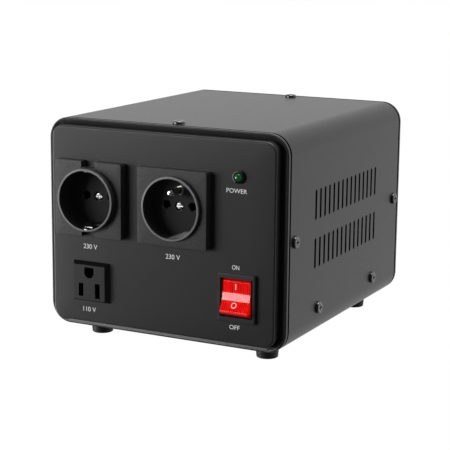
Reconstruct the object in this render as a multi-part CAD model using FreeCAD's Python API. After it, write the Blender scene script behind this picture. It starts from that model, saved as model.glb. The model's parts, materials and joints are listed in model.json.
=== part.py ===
import FreeCAD, Part
import math
import os

Vector = FreeCAD.Vector

# Voltage converter: a toroidal autotransformer in a steel case between two moulded end panels.
# Units are millimetres. X runs to the right seen from the front, Y runs from the front to the rear,
# Z runs up. The origin is on the surface that the feet stand on, under the middle of the whole part.

# Case
case_width = 175.0
case_height = 140.0
case_corner_radius = 14.0
cover_length = 186.0
cover_thickness = 1.2
cover_return_width = 22.5
panel_gap = 2.0
fit_gap = 0.25

# Vents in both sides of the cover
vent_count = 15
vent_pitch = 7.35
vent_width = 2.8
vent_height = 20.0
vent_first_inset = 38.8
vent_upper_height = 89.6
vent_lower_height = 57.6

# End panels
panel_depth = 8.4
panel_wall = 3.0
panel_side_border = 5.5
panel_end_border = 4.5
panel_face_radius = 7.5
panel_face_step = 6.0
panel_face_rounding = 1.2
panel_rim_rounding = 0.8
panel_rim_lip = 1.0
panel_rim_slope = 1.6
panel_rim_backing = 1.6
sleeve_length = 14.2
sleeve_wall = 2.5
insert_radius = 2.9
insert_length = 5.5
insert_boss_radius = 4.5
insert_boss_floor = 1.0

# Base tray
tray_thickness = 1.5
tray_flange_height = 30.0
tray_flange_inset = 15.0
tray_tongue_inset = 2.0
tray_tongue_gap = 2.5
tray_bend_relief = 0.5

# Case screws
screw_radius = 2.0
screw_length = 8.0
screw_head_radius = 4.05
screw_head_height = 1.9
screw_hole_clearance = 0.25
thread_clearance = 0.05
cross_slot_length = 4.4
cross_slot_width = 0.9
cross_slot_depth = 1.1
end_screw_inset = 7.0
end_screw_height = 71.0
tray_screw_height = 20.0
tray_screw_spread = 95.0
top_screw_offset = 4.0
base_screw_offset = 35.0
tray_nut_radius = 3.5
tray_nut_length = 3.0

# Feet
foot_height = 10.5
foot_top_radius = 8.0
foot_bottom_radius = 7.1
foot_edge_rounding = 0.8
foot_side_inset = 24.5
foot_front_inset = 20.6
foot_rear_inset = 17.0
foot_recess_radius = 4.4
foot_recess_depth = 5.0
foot_nut_width = 7.0
foot_nut_height = 3.2
foot_screw_end = 1.0

# Round socket outlets
socket_height = 89.0
socket_f_side_inset = 37.0
socket_e_offset = 11.8
plate_size = 50.0
plate_corner_radius = 1.5
plate_proud = 6.0
plate_edge_rounding = 0.3
ring_radius = 20.8
ring_proud_f = 4.5
ring_proud_e = 2.6
ring_edge_rounding = 0.5
well_radius = 19.4
well_depth_f = 13.0
well_depth_e = 10.5
barrel_radius = 21.2
socket_floor = 3.0
socket_chamber = 14.0
socket_back_thickness = 2.5
snap_width = 8.0
snap_proud = 2.0
snap_length = 4.0
snap_root = 2.5
snap_proud_switch = 1.2
pin_spacing = 19.0
pin_hole_radius = 2.7
pin_hole_flare = 0.7
contact_wall = 0.7
contact_bore_radius = 2.5
contact_end = 1.0
contact_block = 6.5
contact_screw_radius = 1.25
contact_screw_inset = 2.2
contact_screw_reach = 4.225
contact_lead_reach = 2.6
centre_screw_radius = 1.75
centre_head_radius = 2.4
centre_head_height = 1.6
centre_recess_radius = 3.2
centre_recess_depth = 1.6
centre_slot_width = 0.8
centre_slot_depth = 0.8
centre_post_wall = 2.0
centre_post_floor = 0.8
centre_screw_end_gap = 0.2
strap_thickness = 0.8
strap_width = 6.0
strap_gap = 2.4
clip_reach = 15.5
clip_bulge_depth = 8.5
clip_tip_inset = 4.5
clip_wall_gap = 0.7
clip_tip_turn = 0.4
clip_heel = 1.5
clip_slot_gap = 0.3
notch_width = 10.2
notch_depth = 5.4
earth_pin_radius = 2.4
earth_pin_length = 13.0
earth_pin_offset = 10.2
earth_pin_root_radius = 3.0
earth_collar_radius = 4.0

# Flat-blade outlet
blade_outlet_side_inset = 35.9
blade_outlet_height = 32.5
blade_bezel_width = 27.5
blade_bezel_height = 27.2
blade_bezel_bevel = 1.8
blade_outlet_proud = 4.0
blade_outlet_depth = 22.0
blade_outlet_wall = 2.0
blade_body_trim = 1.0
blade_spacing = 12.7
blade_row_drop = 5.2
blade_earth_rise = 11.86
blade_slot_width = 3.7
blade_slot_left = 8.8
blade_slot_right = 10.0
blade_earth_width = 7.2
blade_face_thickness = 7.0
blade_cavity_width = 7.0
blade_cavity_height = 12.0
blade_leaf_thickness = 0.8
blade_leaf_gap = 1.5
blade_leaf_height = 7.0
blade_leaf_setback = 1.0
blade_leaf_root = 0.5
blade_sleeve_inset = 0.4
blade_back_thickness = 2.5
blade_tail_length = 6.0
blade_tail_height = 4.8
blade_tail_gap = 0.1

# Indicator lamp
lamp_side_inset = 30.9
lamp_height = 112.4
lamp_bezel_radius = 4.3
lamp_bezel_proud = 1.8
lamp_body_radius = 3.7
lamp_body_length = 9.0
lamp_lens_radius = 2.5
lamp_lens_proud = 1.9
lamp_gap = 0.1
lamp_nut_radius = 5.4
lamp_nut_length = 2.5

# Rocker switch
switch_side_inset = 31.1
switch_height = 35.1
switch_frame_width = 26.2
switch_frame_height = 31.5
switch_frame_proud = 2.4
switch_frame_rounding = 0.6
switch_frame_radius = 1.0
switch_opening_width = 20.4
switch_opening_height = 25.0
switch_body_width = 23.6
switch_body_height = 28.0
switch_body_depth = 24.0
switch_cavity_depth = 20.0
rocker_gap = 0.5
rocker_pivot_depth = 1.5
rocker_radius = 12.0
rocker_valley = 4.0
rocker_middle = 7.3
rocker_end = 6.5
rocker_tilt = 14.0
rocker_return_angle = 74.0
rocker_ridge_rounding = 0.35
rocker_back_depth = 4.5
rocker_pin_radius = 1.5
rocker_pin_length = 0.8
rocker_pin_clearance = 0.05
rocker_shell = 1.6
rocker_web = 1.4
rocker_stem_radius = 1.1
rocker_stem_reach = 10.4
rocker_lamp_radius = 1.8
rocker_lamp_length = 7.0
arm_ratio = 0.5
arm_pivot_depth = 13.0
arm_contact_gap = 0.4
arm_length = 15.0
arm_width = 4.0
arm_thickness = 1.0
arm_spacing = 10.0
arm_pivot_radius = 0.9
terminal_width = 6.3
terminal_thickness = 0.8
terminal_length = 9.0
terminal_setback = 3.5
terminal_gap = 0.1
terminal_eye_radius = 0.9
terminal_eye_inset = 3.0

# Power inlet in the rear panel
inlet_offset = 50.0
inlet_height = 32.0
inlet_flange_width = 50.0
inlet_flange_height = 28.0
inlet_flange_thickness = 3.0
inlet_flange_radius = 3.0
inlet_flange_rounding = 0.8
inlet_floor_thickness = 3.0
inlet_cavity_width = 30.4
inlet_cavity_height = 20.8
inlet_cavity_depth = 20.0
inlet_cavity_radius = 3.0
inlet_wall = 2.0
inlet_screw_spacing = 40.0
inlet_pin_width = 8.0
inlet_pin_height = 2.0
inlet_pin_recess = 5.0
inlet_pin_chamfer = 0.5
inlet_pin_gap = 0.05
inlet_pin_spacing = 13.0
inlet_pin_rise = 8.0
inlet_tail = 8.0

# Small screws of the rear panel
small_screw_radius = 1.5
small_head_radius = 2.75
small_head_height = 1.8
small_screw_length = 9.0

# Circuit breaker in the rear panel
breaker_offset = 50.0
breaker_height = 82.0
breaker_bushing_radius = 5.5
breaker_nut_radius = 7.6
breaker_nut_length = 2.6
breaker_bushing_proud = 3.6
breaker_body_width = 15.0
breaker_body_radius = 1.0
breaker_body_height = 32.0
breaker_body_depth = 20.0
breaker_tab_spread = 19.2
breaker_button_radius = 4.0
breaker_button_gap = 0.08
breaker_button_proud = 4.5
breaker_button_rounding = 0.8
breaker_button_end_gap = 1.0
breaker_tab_length = 8.0

# Voltage selector in the rear panel
selector_offset = 0.0
selector_height = 107.0
selector_flange_width = 36.0
selector_flange_height = 14.0
selector_flange_thickness = 1.5
selector_flange_radius = 1.5
selector_body_width = 23.0
selector_body_height = 11.0
selector_body_depth = 12.0
selector_window_width = 14.0
selector_window_height = 7.0
selector_window_depth = 6.0
selector_travel = 6.4
selector_gap = 0.15
selector_knob_depth = 5.0
selector_knob_slot = 1.2
selector_knob_slot_depth = 1.5
selector_knob_rounding = 0.5
selector_screw_spacing = 29.0
selector_tab_pitch = 7.0
selector_tab_length = 5.0
selector_tab_width = 3.2

# Transformer
winding_radius = 70.0
winding_bore_radius = 24.0
winding_height = 64.0
winding_rounding = 12.0
core_radius = 58.0
core_bore_radius = 36.0
core_height = 42.0
core_rounding = 1.0
transformer_setback = 103.5
pad_radius = 60.0
pad_bore_radius = 31.0
pad_thickness = 3.0
washer_radius = 50.0
washer_dish_radius = 29.0
washer_seat_radius = 12.0
washer_dish_depth = 7.0
washer_thickness = 1.5
bolt_radius = 4.0
bolt_head_width = 13.0
bolt_head_height = 5.3
bolt_nut_height = 6.5
bolt_end = 4.0

# Terminal block and earth stud on the tray
block_end = 3.0
block_depth = 14.0
block_height = 16.0
block_inset = 13.0
block_ways = 6
block_way_pitch = 9.0
block_hole_radius = 1.7
block_screw_hole_radius = 2.0
block_screw_radius = 1.8
block_screw_length = 4.0
block_screw_recess = 1.0
block_screw_slot_width = 0.7
block_screw_slot_depth = 1.0
block_fixing_gap = 0.1
block_fixing_inset = 2.75
earth_stud_gap = 8.0
earth_stud_inset = 36.0
earth_stud_radius = 2.5
earth_stud_length = 15.0
earth_head_width = 8.0
earth_head_height = 3.5
earth_nut_height = 4.0

# Leads
lead_radius = 1.3
lead_bend = 3.0
lead_straight = 0.5
lead_gap = 0.4
lead_entry = 3.0
lead_start_inset = 6.0
lead_start_gap = 0.5
lead_wall_gap = 2.0
lead_lug_radius = 4.5
lead_lug_thickness = 0.8
lead_lug_overlap = 0.8
breaker_lead_rise = 12.0
breaker_lead_exit = 9.0
breaker_lead_step = 4.0
supply_slope_inset = 54.2
supply_turn_inset = 41.8
neutral_turn_inset = 35.8
neutral_side_step = 7.5
earth_lead_exit = 7.0
earth_turn_inset = 56.0
earth_drop_inset = 46.0
earth_drop_reach = 16.0
block_lead_height = 2.3
blade_lead_turn = 17.6
blade_lead_reach = 4.8
blade_lead_step = 4.5
socket_lead_rise = 31.8
socket_lead_setback = 34.2
socket_lead_drop = 24.5
way_lead_height = 6.5
switch_lead_height = 11.5
switch_lead_reach = 10.8
switch_lead_start = 39.4
switch_lead_pitch = 8.2

# Heights
case_bottom = foot_height
case_top = case_bottom + case_height
case_middle = case_bottom + case_height / 2
tray_bottom = case_bottom + cover_thickness
tray_top = tray_bottom + tray_thickness
socket_z = case_bottom + socket_height
blade_outlet_z = case_bottom + blade_outlet_height
lamp_z = case_bottom + lamp_height
switch_z = case_bottom + switch_height
inlet_z = case_bottom + inlet_height
breaker_z = case_bottom + breaker_height
selector_z = case_bottom + selector_height

# Places across the case, from its middle
case_side = case_width / 2
tray_side = case_side - cover_thickness - fit_gap
tray_tongue_width = 2 * (case_side - case_corner_radius - tray_tongue_gap)
return_edge = case_side - case_corner_radius - cover_return_width
foot_offset = case_side - foot_side_inset
socket_f_offset = socket_f_side_inset - case_side
blade_outlet_offset = blade_outlet_side_inset - case_side
lamp_offset = case_side - lamp_side_inset
switch_offset = case_side - switch_side_inset
earth_stud_offset = return_edge - earth_stud_gap
lead_wall_offset = tray_side - tray_thickness - lead_wall_gap
block_width = block_ways * block_way_pitch + 2 * block_end
block_fixing_offset = block_width / 2 - block_fixing_inset

# Stations along Y
front_reach = plate_proud + ring_proud_f
rear_reach = breaker_bushing_proud + breaker_button_proud
case_depth = cover_length + 2 * (panel_gap + panel_depth)
front_face = -(front_reach + case_depth + rear_reach) / 2 + front_reach
cover_front = front_face + panel_depth + panel_gap
cover_rear = cover_front + cover_length
rear_face = front_face + case_depth
inside_front = front_face + panel_wall
inside_rear = rear_face - panel_wall
transformer_y = cover_front + transformer_setback
foot_front_y = cover_front + foot_front_inset
foot_rear_y = cover_rear - foot_rear_inset
end_screw_front_y = cover_front + end_screw_inset
end_screw_rear_y = cover_rear - end_screw_inset
tray_screw_y = [(cover_front + cover_rear + side * tray_screw_spread) / 2 for side in (-1, 1)]

x_axis = Vector(1, 0, 0)
y_axis = Vector(0, 1, 0)
z_axis = Vector(0, 0, 1)
origin = Vector(0, 0, 0)


def outline(width, height, radius, y, x=0.0, z=0.0):
    """Closed wire of a rounded rectangle that faces along Y."""
    right = x + width / 2
    left = x - width / 2
    top = z + height / 2
    bottom = z - height / 2
    if radius <= 0:
        corners = [Vector(left, y, bottom), Vector(right, y, bottom), Vector(right, y, top)]
        return Part.makePolygon(corners + [Vector(left, y, top), corners[0]])
    edges = []
    corner_data = [(right - radius, top - radius, 0), (left + radius, top - radius, 90),
                   (left + radius, bottom + radius, 180), (right - radius, bottom + radius, 270)]
    last_end = None
    first_start = None
    for corner_x, corner_z, start_angle in corner_data:
        points = []
        for step in (0, 45, 90):
            angle = math.radians(start_angle + step)
            points.append(Vector(corner_x + radius * math.cos(angle), y, corner_z + radius * math.sin(angle)))
        if last_end is not None:
            edges.append(Part.makeLine(last_end, points[0]))
        else:
            first_start = points[0]
        edges.append(Part.Arc(points[0], points[1], points[2]).toShape())
        last_end = points[2]
    edges.append(Part.makeLine(last_end, first_start))
    return Part.Wire(edges)


def slab(width, height, radius, y_from, y_to, x=0.0, z=0.0):
    """Rounded rectangle facing along Y, extruded from one station to another."""
    return Part.Face(outline(width, height, radius, y_from, x, z)).extrude(Vector(0, y_to - y_from, 0))


def block(x_from, x_to, y_from, y_to, z_from, z_to):
    return Part.makeBox(x_to - x_from, y_to - y_from, z_to - z_from, Vector(x_from, y_from, z_from))


def rod_y(radius, y_from, y_to, x, z):
    return Part.makeCylinder(radius, y_to - y_from, Vector(x, y_from, z), y_axis)


def rod_z(radius, z_from, z_to, x, y):
    return Part.makeCylinder(radius, z_to - z_from, Vector(x, y, z_from), z_axis)


def rod_x(radius, x_from, x_to, y, z):
    return Part.makeCylinder(radius, x_to - x_from, Vector(x_from, y, z), x_axis)


def pipe(outer_radius, inner_radius, length, start, direction):
    outside = Part.makeCylinder(outer_radius, length, start, direction)
    return outside.cut(Part.makeCylinder(inner_radius, length, start, direction))


def hexagon(width, height, base, direction):
    """Hexagonal prism of a width across its flats."""
    corner_radius = width / 2 / math.cos(math.radians(30))
    points = [Vector(corner_radius * math.cos(math.radians(60 * step)),
                     corner_radius * math.sin(math.radians(60 * step)), 0) for step in range(7)]
    prism = Part.Face(Part.makePolygon(points)).extrude(Vector(0, 0, height))
    return placed(prism, base, direction)


def placed(shape, position, direction):
    """Turn a shape built along +Z to a direction and move it to a position."""
    copy = shape.copy()
    copy.Placement = FreeCAD.Placement(position, FreeCAD.Rotation(z_axis, direction))
    return copy


def edges_at(shape, axis, station, tolerance=1e-4):
    """Edges of a shape whose whole length lies at one station along an axis."""
    low = {"x": "XMin", "y": "YMin", "z": "ZMin"}[axis]
    high = {"x": "XMax", "y": "YMax", "z": "ZMax"}[axis]
    found = []
    for edge in shape.Edges:
        box = edge.BoundBox
        if abs(getattr(box, low) - station) < tolerance and abs(getattr(box, high) - station) < tolerance:
            found.append(edge)
    return found


def mirrored_y(shape):
    """The same moulding facing the other way, about the middle of the case."""
    return shape.mirror(Vector(0, (front_face + rear_face) / 2, 0), y_axis)


def group(shapes):
    return Part.makeCompound(shapes)


# Fasteners

def pan_screw(radius, length, head_radius, head_height):
    """Pan-head screw with a cross recess, its seat at the origin and its head upwards."""
    head = Part.makeCylinder(head_radius, head_height)
    head = head.makeFillet(head_height * 0.62, edges_at(head, "z", head_height))
    half = cross_slot_length / 2 * head_radius / screw_head_radius
    floor = head_height - cross_slot_depth
    slots = block(-half, half, -cross_slot_width / 2, cross_slot_width / 2, floor, head_height + 1)
    slots = slots.fuse(block(-cross_slot_width / 2, cross_slot_width / 2, -half, half, floor, head_height + 1))
    shank = Part.makeCylinder(radius, length, Vector(0, 0, -length))
    return head.cut(slots).fuse(shank).removeSplitter()


def case_screw(position, direction):
    screw = pan_screw(screw_radius, screw_length, screw_head_radius, screw_head_height)
    return placed(screw, position, direction)


def small_screw(position, direction):
    screw = pan_screw(small_screw_radius, small_screw_length, small_head_radius, small_head_height)
    return placed(screw, position, direction)


def end_screw_places():
    """Seat and outward direction of the side screws that hold the cover to the end panels."""
    places = []
    for y in (end_screw_front_y, end_screw_rear_y):
        for side in (-1, 1):
            places.append((Vector(side * case_side, y, case_bottom + end_screw_height), x_axis * side))
    return places


def tray_screw_places():
    places = []
    for y in tray_screw_y:
        for side in (-1, 1):
            places.append((Vector(side * case_side, y, case_bottom + tray_screw_height), x_axis * side))
    return places


def top_screw_places():
    return [(Vector(top_screw_offset, y, case_top), z_axis) for y in (end_screw_front_y, end_screw_rear_y)]


def base_screw_places():
    places = []
    for y in (end_screw_front_y, end_screw_rear_y):
        for side in (-1, 1):
            places.append((Vector(side * base_screw_offset, y, tray_bottom), z_axis * -1))
    return places


def screw_holes(places, radius, reach):
    """Cutters through whatever stands behind the seats of these screws."""
    return [Part.makeCylinder(radius, reach + 2, seat + out, out * -1) for seat, out in places]


def foot_places():
    return [(side * foot_offset, y) for y in (foot_front_y, foot_rear_y) for side in (-1, 1)]


# Case

def make_cover():
    inner_radius = case_corner_radius - cover_thickness
    cover = slab(case_width, case_height, case_corner_radius, cover_front, cover_rear, 0, case_middle)
    cover = cover.cut(slab(case_width - 2 * cover_thickness, case_height - 2 * cover_thickness, inner_radius,
                           cover_front - 1, cover_rear + 1, 0, case_middle))
    cover = cover.cut(block(-return_edge, return_edge, cover_front - 1, cover_rear + 1,
                            case_bottom - 1, case_bottom + cover_thickness + 1))
    cutters = []
    reach = case_side + 1
    end_radius = vent_width / 2
    for index in range(vent_count):
        y = cover_front + vent_first_inset + index * vent_pitch
        for height in (vent_lower_height, vent_upper_height):
            middle = case_bottom + height
            half = vent_height / 2 - end_radius
            cutters.append(block(-reach, reach, y - end_radius, y + end_radius, middle - half, middle + half))
            cutters.append(rod_x(end_radius, -reach, reach, y, middle - half))
            cutters.append(rod_x(end_radius, -reach, reach, y, middle + half))
    hole = screw_radius + screw_hole_clearance
    cutters += screw_holes(end_screw_places() + tray_screw_places() + top_screw_places(), hole, cover_thickness)
    for x, y in foot_places():
        cutters.append(rod_z(hole, case_bottom - 1, case_bottom + cover_thickness + 1, x, y))
    return cover.cut(cutters)


def make_tray():
    """Steel tray that stands on the returns of the cover and carries the transformer."""
    width = 2 * tray_side
    radius = case_corner_radius - cover_thickness + tray_bend_relief
    flange_top = tray_bottom + tray_flange_height
    tall = 2 * (flange_top - tray_bottom) + 2 * radius
    middle = tray_bottom + tall / 2
    y_from = cover_front + tray_flange_inset
    y_to = cover_rear - tray_flange_inset
    tray = slab(width, tall, radius, y_from, y_to, 0, middle)
    tray = tray.cut(slab(width - 2 * tray_thickness, tall - 2 * tray_thickness, radius - tray_thickness,
                         y_from - 1, y_to + 1, 0, middle))
    tray = tray.cut(block(-width, width, y_from - 1, y_to + 1, flange_top, middle + tall))
    half_tongue = tray_tongue_width / 2
    for start, end in ((cover_front + tray_tongue_inset, y_from), (y_to, cover_rear - tray_tongue_inset)):
        tray = tray.fuse(block(-half_tongue, half_tongue, start, end, tray_bottom, tray_top))
    hole = screw_radius + screw_hole_clearance
    cutters = screw_holes(tray_screw_places(), hole, cover_thickness + fit_gap + tray_thickness)
    cutters += screw_holes(base_screw_places(), hole, tray_thickness)
    for x, y in foot_places():
        cutters.append(rod_z(hole, tray_bottom - 1, tray_top + 1, x, y))
    cutters.append(rod_z(bolt_radius + screw_hole_clearance, tray_bottom - 1, tray_top + 1, 0, transformer_y))
    for side in (-1, 1):
        cutters.append(rod_z(small_screw_radius + screw_hole_clearance, tray_bottom - 1, tray_top + 1,
                             side * block_fixing_offset, block_middle_y()))
    cutters.append(rod_z(earth_stud_radius + screw_hole_clearance, tray_bottom - 1, tray_top + 1,
                         earth_stud_offset, cover_front + earth_stud_inset))
    return tray.removeSplitter().cut(cutters)


def sleeve_limits():
    """Half width, bottom and top of the sleeve that the cover slides over."""
    return tray_side, tray_top, case_top - cover_thickness - fit_gap


def make_panel_blank():
    """Front panel moulding with its raised face, rim and sleeve, before its own openings."""
    rim_front = front_face + panel_face_step
    rim_back = front_face + panel_depth
    rim = slab(case_width, case_height, case_corner_radius, rim_front, rim_back, 0, case_middle)
    rim = rim.makeFillet(panel_rim_rounding, edges_at(rim, "y", rim_front))
    face_width = case_width - 2 * panel_side_border
    face_height = case_height - 2 * panel_end_border
    lip = outline(case_width - 2 * panel_rim_lip, case_height - 2 * panel_rim_lip,
                  case_corner_radius - panel_rim_lip, rim_front, 0, case_middle)
    trough = outline(face_width, face_height, panel_face_radius, rim_front + panel_rim_slope, 0, case_middle)
    rim = rim.cut(Part.makeLoft([lip, trough], True, True))
    face_back = rim_back + panel_rim_backing
    face = slab(face_width, face_height, panel_face_radius, front_face, face_back, 0, case_middle)
    face = face.makeFillet(panel_face_rounding, edges_at(face, "y", front_face))
    panel = rim.fuse(face)
    half_width, bottom, top = sleeve_limits()
    sleeve_radius = case_corner_radius - cover_thickness - fit_gap
    sleeve_middle = (bottom + top) / 2
    sleeve_end = rim_back + sleeve_length
    sleeve = slab(2 * half_width, top - bottom, sleeve_radius, rim_back, sleeve_end, 0, sleeve_middle)
    bosses = []
    boss_reach = insert_length + insert_boss_floor
    for seat, out in panel_seats():
        start = seat - out * boss_reach
        bosses.append(Part.makeCylinder(insert_boss_radius, boss_reach, start, out))
    hollow = slab(2 * (half_width - sleeve_wall), top - bottom - 2 * sleeve_wall, sleeve_radius - sleeve_wall,
                  face_back, sleeve_end + 1, 0, sleeve_middle)
    sleeve = sleeve.cut(hollow)
    envelope = slab(2 * half_width, top - bottom, sleeve_radius, rim_back, sleeve_end, 0, sleeve_middle)
    for boss in bosses:
        sleeve = sleeve.fuse(boss.common(envelope))
    panel = panel.fuse(sleeve)
    panel = panel.cut(slab(face_width - 2 * panel_wall, face_height - 2 * panel_wall,
                           panel_face_radius - panel_wall, inside_front, face_back + fit_gap, 0, case_middle))
    panel = panel.removeSplitter()
    holes = [Part.makeCylinder(insert_radius + thread_clearance, boss_reach + 2, seat + out, out * -1)
             for seat, out in panel_seats()]
    return panel.cut(holes)


def panel_seats():
    """Where the threaded inserts of the front panel start, and their outward directions."""
    half_width, bottom, top = sleeve_limits()
    seats = []
    for side in (-1, 1):
        height = case_bottom + end_screw_height
        seats.append((Vector(side * half_width, end_screw_front_y, height), x_axis * side))
    seats.append((Vector(top_screw_offset, end_screw_front_y, top), z_axis))
    for side in (-1, 1):
        seats.append((Vector(side * base_screw_offset, end_screw_front_y, bottom), z_axis * -1))
    return seats


def make_inserts():
    shapes = []
    for seat, out in panel_seats():
        start = seat - out * (insert_length + fit_gap)
        insert = pipe(insert_radius, screw_radius + thread_clearance, insert_length, start, out)
        shapes.append(insert)
        shapes.append(mirrored_y(insert))
    return group(shapes)


def make_front_panel():
    cutters = []
    for x in (socket_f_offset, socket_e_offset):
        cutters.append(rod_y(barrel_radius + fit_gap, front_face - 1, inside_front + 1, x, socket_z))
    cutters.append(slab(blade_body_width() + 2 * fit_gap, blade_body_height() + 2 * fit_gap, 0,
                        front_face - 1, inside_front + 1, blade_outlet_offset, blade_outlet_z))
    cutters.append(rod_y(lamp_body_radius + lamp_gap, front_face - 1, inside_front + 1, lamp_offset, lamp_z))
    cutters.append(slab(switch_body_width + 2 * fit_gap, switch_body_height + 2 * fit_gap, 0,
                        front_face - 1, inside_front + 1, switch_offset, switch_z))
    return make_panel_blank().cut(cutters)


def make_rear_panel():
    cutters = [slab(inlet_body_width() + 2 * fit_gap, inlet_body_height() + 2 * fit_gap, 0,
                    inside_rear - 1, rear_face + 1, inlet_offset, inlet_z)]
    cutters.append(rod_y(breaker_bushing_radius + fit_gap, inside_rear - 1, rear_face + 1,
                         breaker_offset, breaker_z))
    cutters.append(slab(selector_body_width + 2 * fit_gap, selector_body_height + 2 * fit_gap, 0,
                        inside_rear - 1, rear_face + 1, selector_offset, selector_z))
    hole = small_screw_radius + thread_clearance
    for x, z in small_screw_places():
        cutters.append(rod_y(hole, inside_rear - 1, rear_face + 1, x, z))
    return mirrored_y(make_panel_blank()).cut(cutters)


def make_foot(x, y):
    foot = Part.makeCone(foot_bottom_radius, foot_top_radius, foot_height, Vector(x, y, 0))
    foot = foot.makeFillet(foot_edge_rounding, edges_at(foot, "z", 0))
    hole = rod_z(screw_radius + screw_hole_clearance, -1, foot_height + 1, x, y)
    recess = rod_z(foot_recess_radius, -1, foot_recess_depth, x, y)
    return foot.cut([hole, recess])


def make_foot_screws():
    length = tray_top + foot_nut_height + foot_screw_end - foot_recess_depth
    screw = pan_screw(screw_radius, length, screw_head_radius, screw_head_height)
    return group([placed(screw, Vector(x, y, foot_recess_depth), z_axis * -1) for x, y in foot_places()])


def make_foot_nuts():
    nuts = []
    for x, y in foot_places():
        nut = hexagon(foot_nut_width, foot_nut_height, Vector(x, y, tray_top), z_axis)
        nuts.append(nut.cut(rod_z(screw_radius + thread_clearance, 0, tray_top + 20, x, y)))
    return group(nuts)


def make_tray_nuts():
    nuts = []
    for seat, out in tray_screw_places():
        start = seat - out * (cover_thickness + fit_gap + tray_thickness + tray_nut_length)
        nuts.append(pipe(tray_nut_radius, screw_radius + thread_clearance, tray_nut_length, start, out))
    return group(nuts)


# Round socket outlets

plate_front = front_face - plate_proud


def socket_stations(well_depth):
    """Floor of the well, front of the contact chamber, and front of the rear cover."""
    floor = plate_front + well_depth
    chamber = floor + socket_floor
    return floor, chamber, chamber + socket_chamber


def clip_outline(sign):
    """Side view of one earth clip along its length, as points of station and height."""
    floor, chamber, back = socket_stations(well_depth_f)
    tip = plate_front - ring_proud_f + clip_tip_inset
    bulge = plate_front - ring_proud_f + clip_bulge_depth
    outer = well_radius - clip_wall_gap
    line = [(tip, outer - clip_tip_turn), (bulge, clip_reach),
            (floor - clip_heel, outer - strap_thickness / 2),
            (chamber + strap_gap, outer - strap_thickness / 2)]
    half = strap_thickness / 2
    upper = [(y, z + half) for y, z in line]
    lower = [(y, z - half) for y, z in reversed(line)]
    return [(y, socket_z + sign * z) for y, z in upper + lower]


def make_socket_body(x, well_depth, ring_proud, has_clips):
    floor, chamber, back = socket_stations(well_depth)
    ring_front = plate_front - ring_proud
    body = slab(plate_size, plate_size, plate_corner_radius, plate_front, front_face, x, socket_z)
    body = body.makeFillet(plate_edge_rounding, edges_at(body, "y", plate_front))
    ring = rod_y(ring_radius, ring_front, plate_front + 1, x, socket_z)
    ring = ring.makeFillet(ring_edge_rounding, edges_at(ring, "y", ring_front))
    body = body.fuse(ring)
    body = body.fuse(rod_y(barrel_radius, front_face - 1, back, x, socket_z))
    for side in (-1, 1):
        edge = x + side * barrel_radius
        near = edge - side * snap_root
        far = edge + side * snap_proud
        lug = block(min(near, far), max(near, far), inside_front + fit_gap,
                    inside_front + fit_gap + snap_length, socket_z - snap_width / 2, socket_z + snap_width / 2)
        body = body.fuse(lug)
    cutters = [rod_y(well_radius, ring_front - 1, floor, x, socket_z)]
    cutters.append(rod_y(well_radius, chamber, back + 1, x, socket_z))
    for side in (-1, 1):
        pin_x = x + side * pin_spacing / 2
        cutters.append(rod_y(pin_hole_radius, floor - 1, chamber + 1, pin_x, socket_z))
        cutters.append(Part.makeCone(pin_hole_radius + pin_hole_flare, pin_hole_radius, pin_hole_flare,
                                     Vector(pin_x, floor, socket_z), y_axis))
    cutters.append(rod_y(centre_screw_radius + screw_hole_clearance, floor - 1, chamber + 1, x, socket_z))
    cutters.append(rod_y(centre_recess_radius, floor - 1, floor + centre_recess_depth, x, socket_z))
    if has_clips:
        half = strap_width / 2 + clip_slot_gap
        slot_top = well_radius - clip_wall_gap + clip_slot_gap
        slot_bottom = slot_top - strap_thickness - 2 * clip_slot_gap
        for side in (-1, 1):
            low = min(side * slot_top, side * slot_bottom)
            high = max(side * slot_top, side * slot_bottom)
            cutters.append(block(x - half, x + half, floor - 1, chamber + 1, socket_z + low, socket_z + high))
            near = side * (ring_radius + 0.01)
            far = side * (plate_size / 2 + 1)
            cutters.append(block(x - notch_width / 2, x + notch_width / 2, plate_front - 1,
                                 plate_front + notch_depth, socket_z + min(near, far),
                                 socket_z + max(near, far)))
    else:
        cutters.append(rod_y(earth_pin_root_radius + thread_clearance, floor - 1, chamber + 1,
                             x, socket_z + earth_pin_offset))
    return body.removeSplitter().cut(cutters)


def make_socket_contacts(x, well_depth):
    """The two sprung sleeves behind the pin holes, each with its terminal block."""
    floor, chamber, back = socket_stations(well_depth)
    start = chamber + fit_gap
    shapes = []
    for side in (-1, 1):
        pin_x = x + side * pin_spacing / 2
        end = back - fit_gap
        outside = rod_y(pin_hole_radius + contact_wall, start, end, pin_x, socket_z)
        near = pin_x + side * contact_bore_radius
        far = pin_x + side * contact_block
        terminal = block(min(near, far), max(near, far), end - contact_block, end,
                         socket_z - contact_block / 2, socket_z + contact_block / 2)
        bore = rod_y(contact_bore_radius, start - 1, end - contact_end, pin_x, socket_z)
        screw_bore = rod_z(contact_screw_radius, socket_z, socket_z + contact_block,
                           pin_x + side * contact_screw_reach, end - contact_screw_inset)
        shapes.append(outside.fuse(terminal).removeSplitter().cut([bore, screw_bore]))
    return group(shapes)


def socket_lead_place(x, side):
    """Centre of the lead hole in the rear cover of a socket."""
    return x + side * (pin_spacing / 2 + contact_lead_reach), socket_z - contact_block


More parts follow.
